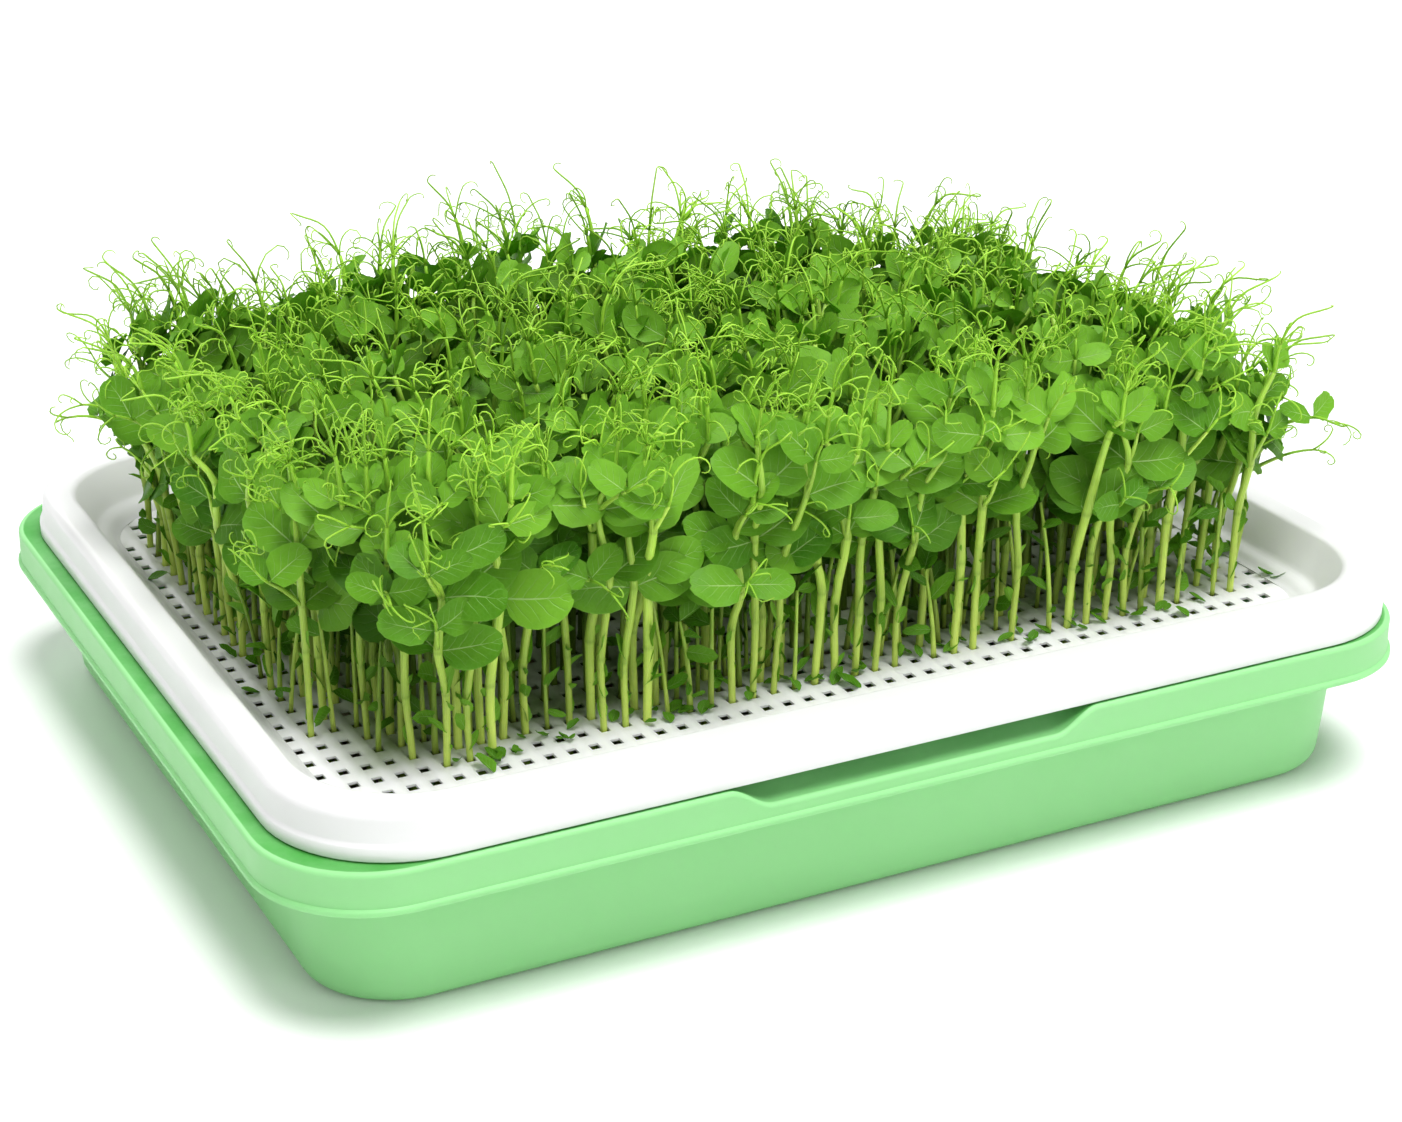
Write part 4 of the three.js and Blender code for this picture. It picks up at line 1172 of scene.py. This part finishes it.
def add_shoot(patch, shoot, full):
    """One fine shoot. Those inside, hidden by their neighbours, have fewer parts and steps."""
    draw = random_from(int(abs(shoot.x * 37 + shoot.y * 991)) + (17 if shoot.x < 0 else 0))
    bright = draw()
    green = 0.08 + 0.55 * draw()
    if shoot.weak:
        add_weak_shoot(patch, shoot, draw, bright)
        return
    add_stem(patch, shoot, bright, full)
    for leaf in shoot.leaves:
        length = (0.94 if full else 0.86) * leaf["length"]
        # Leaves inside get a random darkening as painted shade.
        add_leaf(patch, leaf["base"], (leaf["up"], leaf["along"]), length,
                 length * (LEAF_BREADTH + spread(draw, 0.08)), draw, green + spread(draw, 0.22),
                 LARGE_GRID if full else MIDDLE_GRID, painted_dimming=1 if full else 0.40 + 0.60 * draw())
    add_tip_leaves(patch, shoot, draw, green, full)
    if full:
        add_scale_leaves(patch, shoot, draw)
    if draw() < 0.75:
        add_side_shoot(patch, shoot, 2, draw, bright, green, full)
    if draw() < (0.4 if full else 0.2):
        add_side_shoot(patch, shoot, 1, draw, bright, green, full)
    if shoot.tendril and (full or draw() < 0.75):
        add_top_tendril(patch, shoot, draw, bright, full)


def add_roots(patch, members, index):
    """The mat of roots that a bunch stands in, with its seeds, lying on the water tray's floor."""
    draw = random_from(ROOT_DRAWS + index)
    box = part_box(f"pea_shoots_{members[0].bunch[0] + 1}_{members[0].bunch[1] + 1}")
    low = box[0][2] / MM + 0.1
    row, place = members[0].bunch
    centre = vec(column_x(2 * place) + column_x(2 * place + 1), row_y(2 * row) + row_y(2 * row + 1)) / 2
    turn = np.linspace(0, 2 * math.pi, ROOT_STEPS, endpoint=False)
    box_turn = np.sign(np.cos(turn)) * np.abs(np.cos(turn)) ** 0.45
    box_lift = np.sign(np.sin(turn)) * np.abs(np.sin(turn)) ** 0.45
    rings = []
    for height, scale in ((low, 0.86), (low + 2.5, 0.94), (MAT_TOP - 4, 0.97), (MAT_TOP, 0.90),
                          (MAT_TOP + 0.8, 0.6), (MAT_TOP, 0.25)):
        wave = np.array([1 - 0.06 * draw() for _ in turn])
        rings.append(np.c_[centre[0] + MAT_HALF_LENGTH * scale * wave * box_turn,
                           centre[1] + MAT_HALF_WIDTH * scale * wave * box_lift,
                           np.full(ROOT_STEPS, height)])
    patch.add(*closed_stack(rings), ROOT)
    for shoot in members:
        add_pea(patch, vec(shoot.x + 1.2, shoot.y, MAT_TOP + 3.0), PEA_RADIUS, draw)


def add_pea(patch, centre, radius, draw):
    rows, columns = 6, 10
    lat = np.linspace(-math.pi / 2 + 0.25, math.pi / 2 - 0.25, rows)
    lon = np.linspace(0, 2 * math.pi, columns, endpoint=False)
    rings = []
    for angle in lat:
        dent = np.array([1 - 0.05 * draw() for _ in lon])
        rings.append(centre + radius * np.stack([np.cos(angle) * np.cos(lon) * dent,
                                                 np.cos(angle) * np.sin(lon) * dent,
                                                 np.full(columns, math.sin(angle))], axis=-1))
    patch.add(*closed_stack(rings), ROOT)


def add_shoot_pieces():
    """A fine piece for every bunch."""
    planted = solid_shoots()
    bunches = {}
    for shoot in planted + filling_shoots(planted):
        bunches.setdefault(shoot.bunch, []).append(shoot)
    for index, bunch in enumerate(sorted(bunches)):
        patch = Patchwork()
        for shoot in bunches[bunch]:
            add_shoot(patch, shoot, edge_distance(shoot.x, shoot.y) < EDGE_BELT)
        add_roots(patch, bunches[bunch], index)
        patch.move(LOOSE_SHIFT)
        name = f"pea_shoots_{bunch[0] + 1}_{bunch[1] + 1}"
        piece = patch.build(f"{name}_fine", SHOOT_MATERIALS, sharp_angle=130)
        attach(piece, "root")
        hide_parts(name)


# Where the larger bits lie on the plate, and how long they are.
FALLEN_BITS = ((151, -87, 6), (149, -66, 8), (-146, -24, 7), (3, -95, 8), (-147, 2, 6), (-105, -95, 7),
               (60, -96, 5), (108, -97, 6), (-60, 97, 7), (40, 98, 6), (149, 40, 6), (-148, 60, 6))


def add_fallen_bit(patch, x, y, size, draw):
    facing = 2 * math.pi * draw()
    up = unit(vec(0.35 * math.cos(facing), 0.35 * math.sin(facing), 1))
    along = unit(np.cross(up, vec(math.cos(facing + 1), math.sin(facing + 1), 0)))
    base = vec(x, y, PLATE_TOP + 0.9) - along * size / 2
    add_leaf(patch, base, (up, along), size * (0.7 + 0.5 * draw()), 0.6 * size, draw,
             0.2 + 0.4 * draw(), SMALL_GRID, curl=-0.15, fold=0.45)


def add_fallen_bits():
    """Shed bits of leaves that lie on the plate round the shoots."""
    draw = random_from(FALLEN_DRAWS)
    patch = Patchwork()
    for x, y, size in FALLEN_BITS:
        for _ in range(1 + int(2 * draw())):
            add_fallen_bit(patch, x + spread(draw, 3), y + spread(draw, 2), size, draw)
    for _ in range(SMALL_BITS):
        x, y = spread(draw, OUTER_COLUMN - 20), OUTER_ROW - 4 + 9 * draw()
        add_fallen_bit(patch, x, y if draw() < 0.3 else -y, 3 + 2.5 * draw(), draw)
    patch.move(LOOSE_SHIFT)
    piece = patch.build("fallen_leaf_bits", SHOOT_MATERIALS, sharp_angle=130)
    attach(piece, "root")


# ---- Stage ----

CAMERA_PLACE = vec(-0.3494, -0.6942, 0.3796)    # in metres, as all of the stage is
CAMERA_ANGLES = (27.16, 23.13, 0.19)            # yaw, pitch downwards and roll, in degrees
CAMERA_LENS = 72
FLOOR_HALF = 6.0
WORLD_STRENGTH = 0.32

# Each light's place, the height on the Z axis that it looks at, its breadth and its power.
LIGHTS = {"key": ((0.35, -1.0, 4.5), 0.05, 2.6, 222),
          "fill": ((-2.8, -1.3, 2.2), 0.06, 2.4, 14),
          "front": ((1.3, -3.1, 1.3), 0.06, 2.0, 26),
          "rim": ((-0.4, 3.4, 2.8), 0.1, 3.0, 60)}


def aim(thing, place, right, up, ahead):
    """Puts a camera or a light at its place, looking ahead."""
    rows = [[*row, at] for row, at in zip(np.c_[right, up, -ahead], place)]
    thing.matrix_world = Matrix(rows + [[0, 0, 0, 1]])


def add_camera():
    """The camera's place and turn, for a frame of 1402 x 1122."""
    yaw, pitch, roll = (math.radians(angle) for angle in CAMERA_ANGLES)
    ahead = vec(math.sin(yaw) * math.cos(pitch), math.cos(yaw) * math.cos(pitch), -math.sin(pitch))
    level = vec(math.cos(yaw), -math.sin(yaw), 0)
    upright = np.cross(level, ahead)
    right = level * math.cos(roll) + upright * math.sin(roll)
    up = upright * math.cos(roll) - level * math.sin(roll)
    data = bpy.data.cameras.new("camera")
    data.sensor_fit = "HORIZONTAL"
    data.sensor_width = 36
    data.lens = CAMERA_LENS
    data.clip_end = 20
    camera = add_object("camera", data)
    aim(camera, CAMERA_PLACE, right, up, ahead)
    bpy.context.scene.camera = camera


def add_light(name, place, target_height, size, power):
    data = bpy.data.lights.new(name, "AREA")
    data.shape = "DISK"
    data.size = size
    data.energy = power
    ahead = unit(vec(0, 0, target_height) - vec(*place))
    side = unit(np.cross(ahead, vec(0, 0, 1)))
    aim(add_object(name, data), place, side, np.cross(side, ahead), ahead)


def add_stage():
    corners = [(x * FLOOR_HALF, y * FLOOR_HALF, 0) for x, y in ((-1, -1), (1, -1), (1, 1), (-1, 1))]
    mesh = bpy.data.meshes.new("floor")
    mesh.from_pydata(corners, [], [(0, 1, 2, 3)])
    s = Shader("floor")
    s.set_surface({"Base Color": (0.98, 0.98, 0.98, 1), "Roughness": 0.7, "Specular IOR Level": 0.2})
    mesh.materials.append(s.material)
    floor = add_object("floor", mesh)
    world = bpy.data.worlds.new("studio")
    world.use_nodes = True
    background = world.node_tree.nodes["Background"]
    background.inputs["Color"].default_value = (1, 1, 1, 1)
    background.inputs["Strength"].default_value = WORLD_STRENGTH
    bpy.context.scene.world = world
    for name, settings in LIGHTS.items():
        add_light(name, *settings)
    bpy.context.scene.view_settings.view_transform = "Standard"


# ---- Assembly ----

add_camera()
add_stage()

for shell, node, slot in ((water_tray(), "water_tray", "green_plastic"),
                          (grow_tray(), "grow_tray", "white_plastic")):
    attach(shell, "root")
    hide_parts(node)

add_shoot_pieces()
add_fallen_bits()
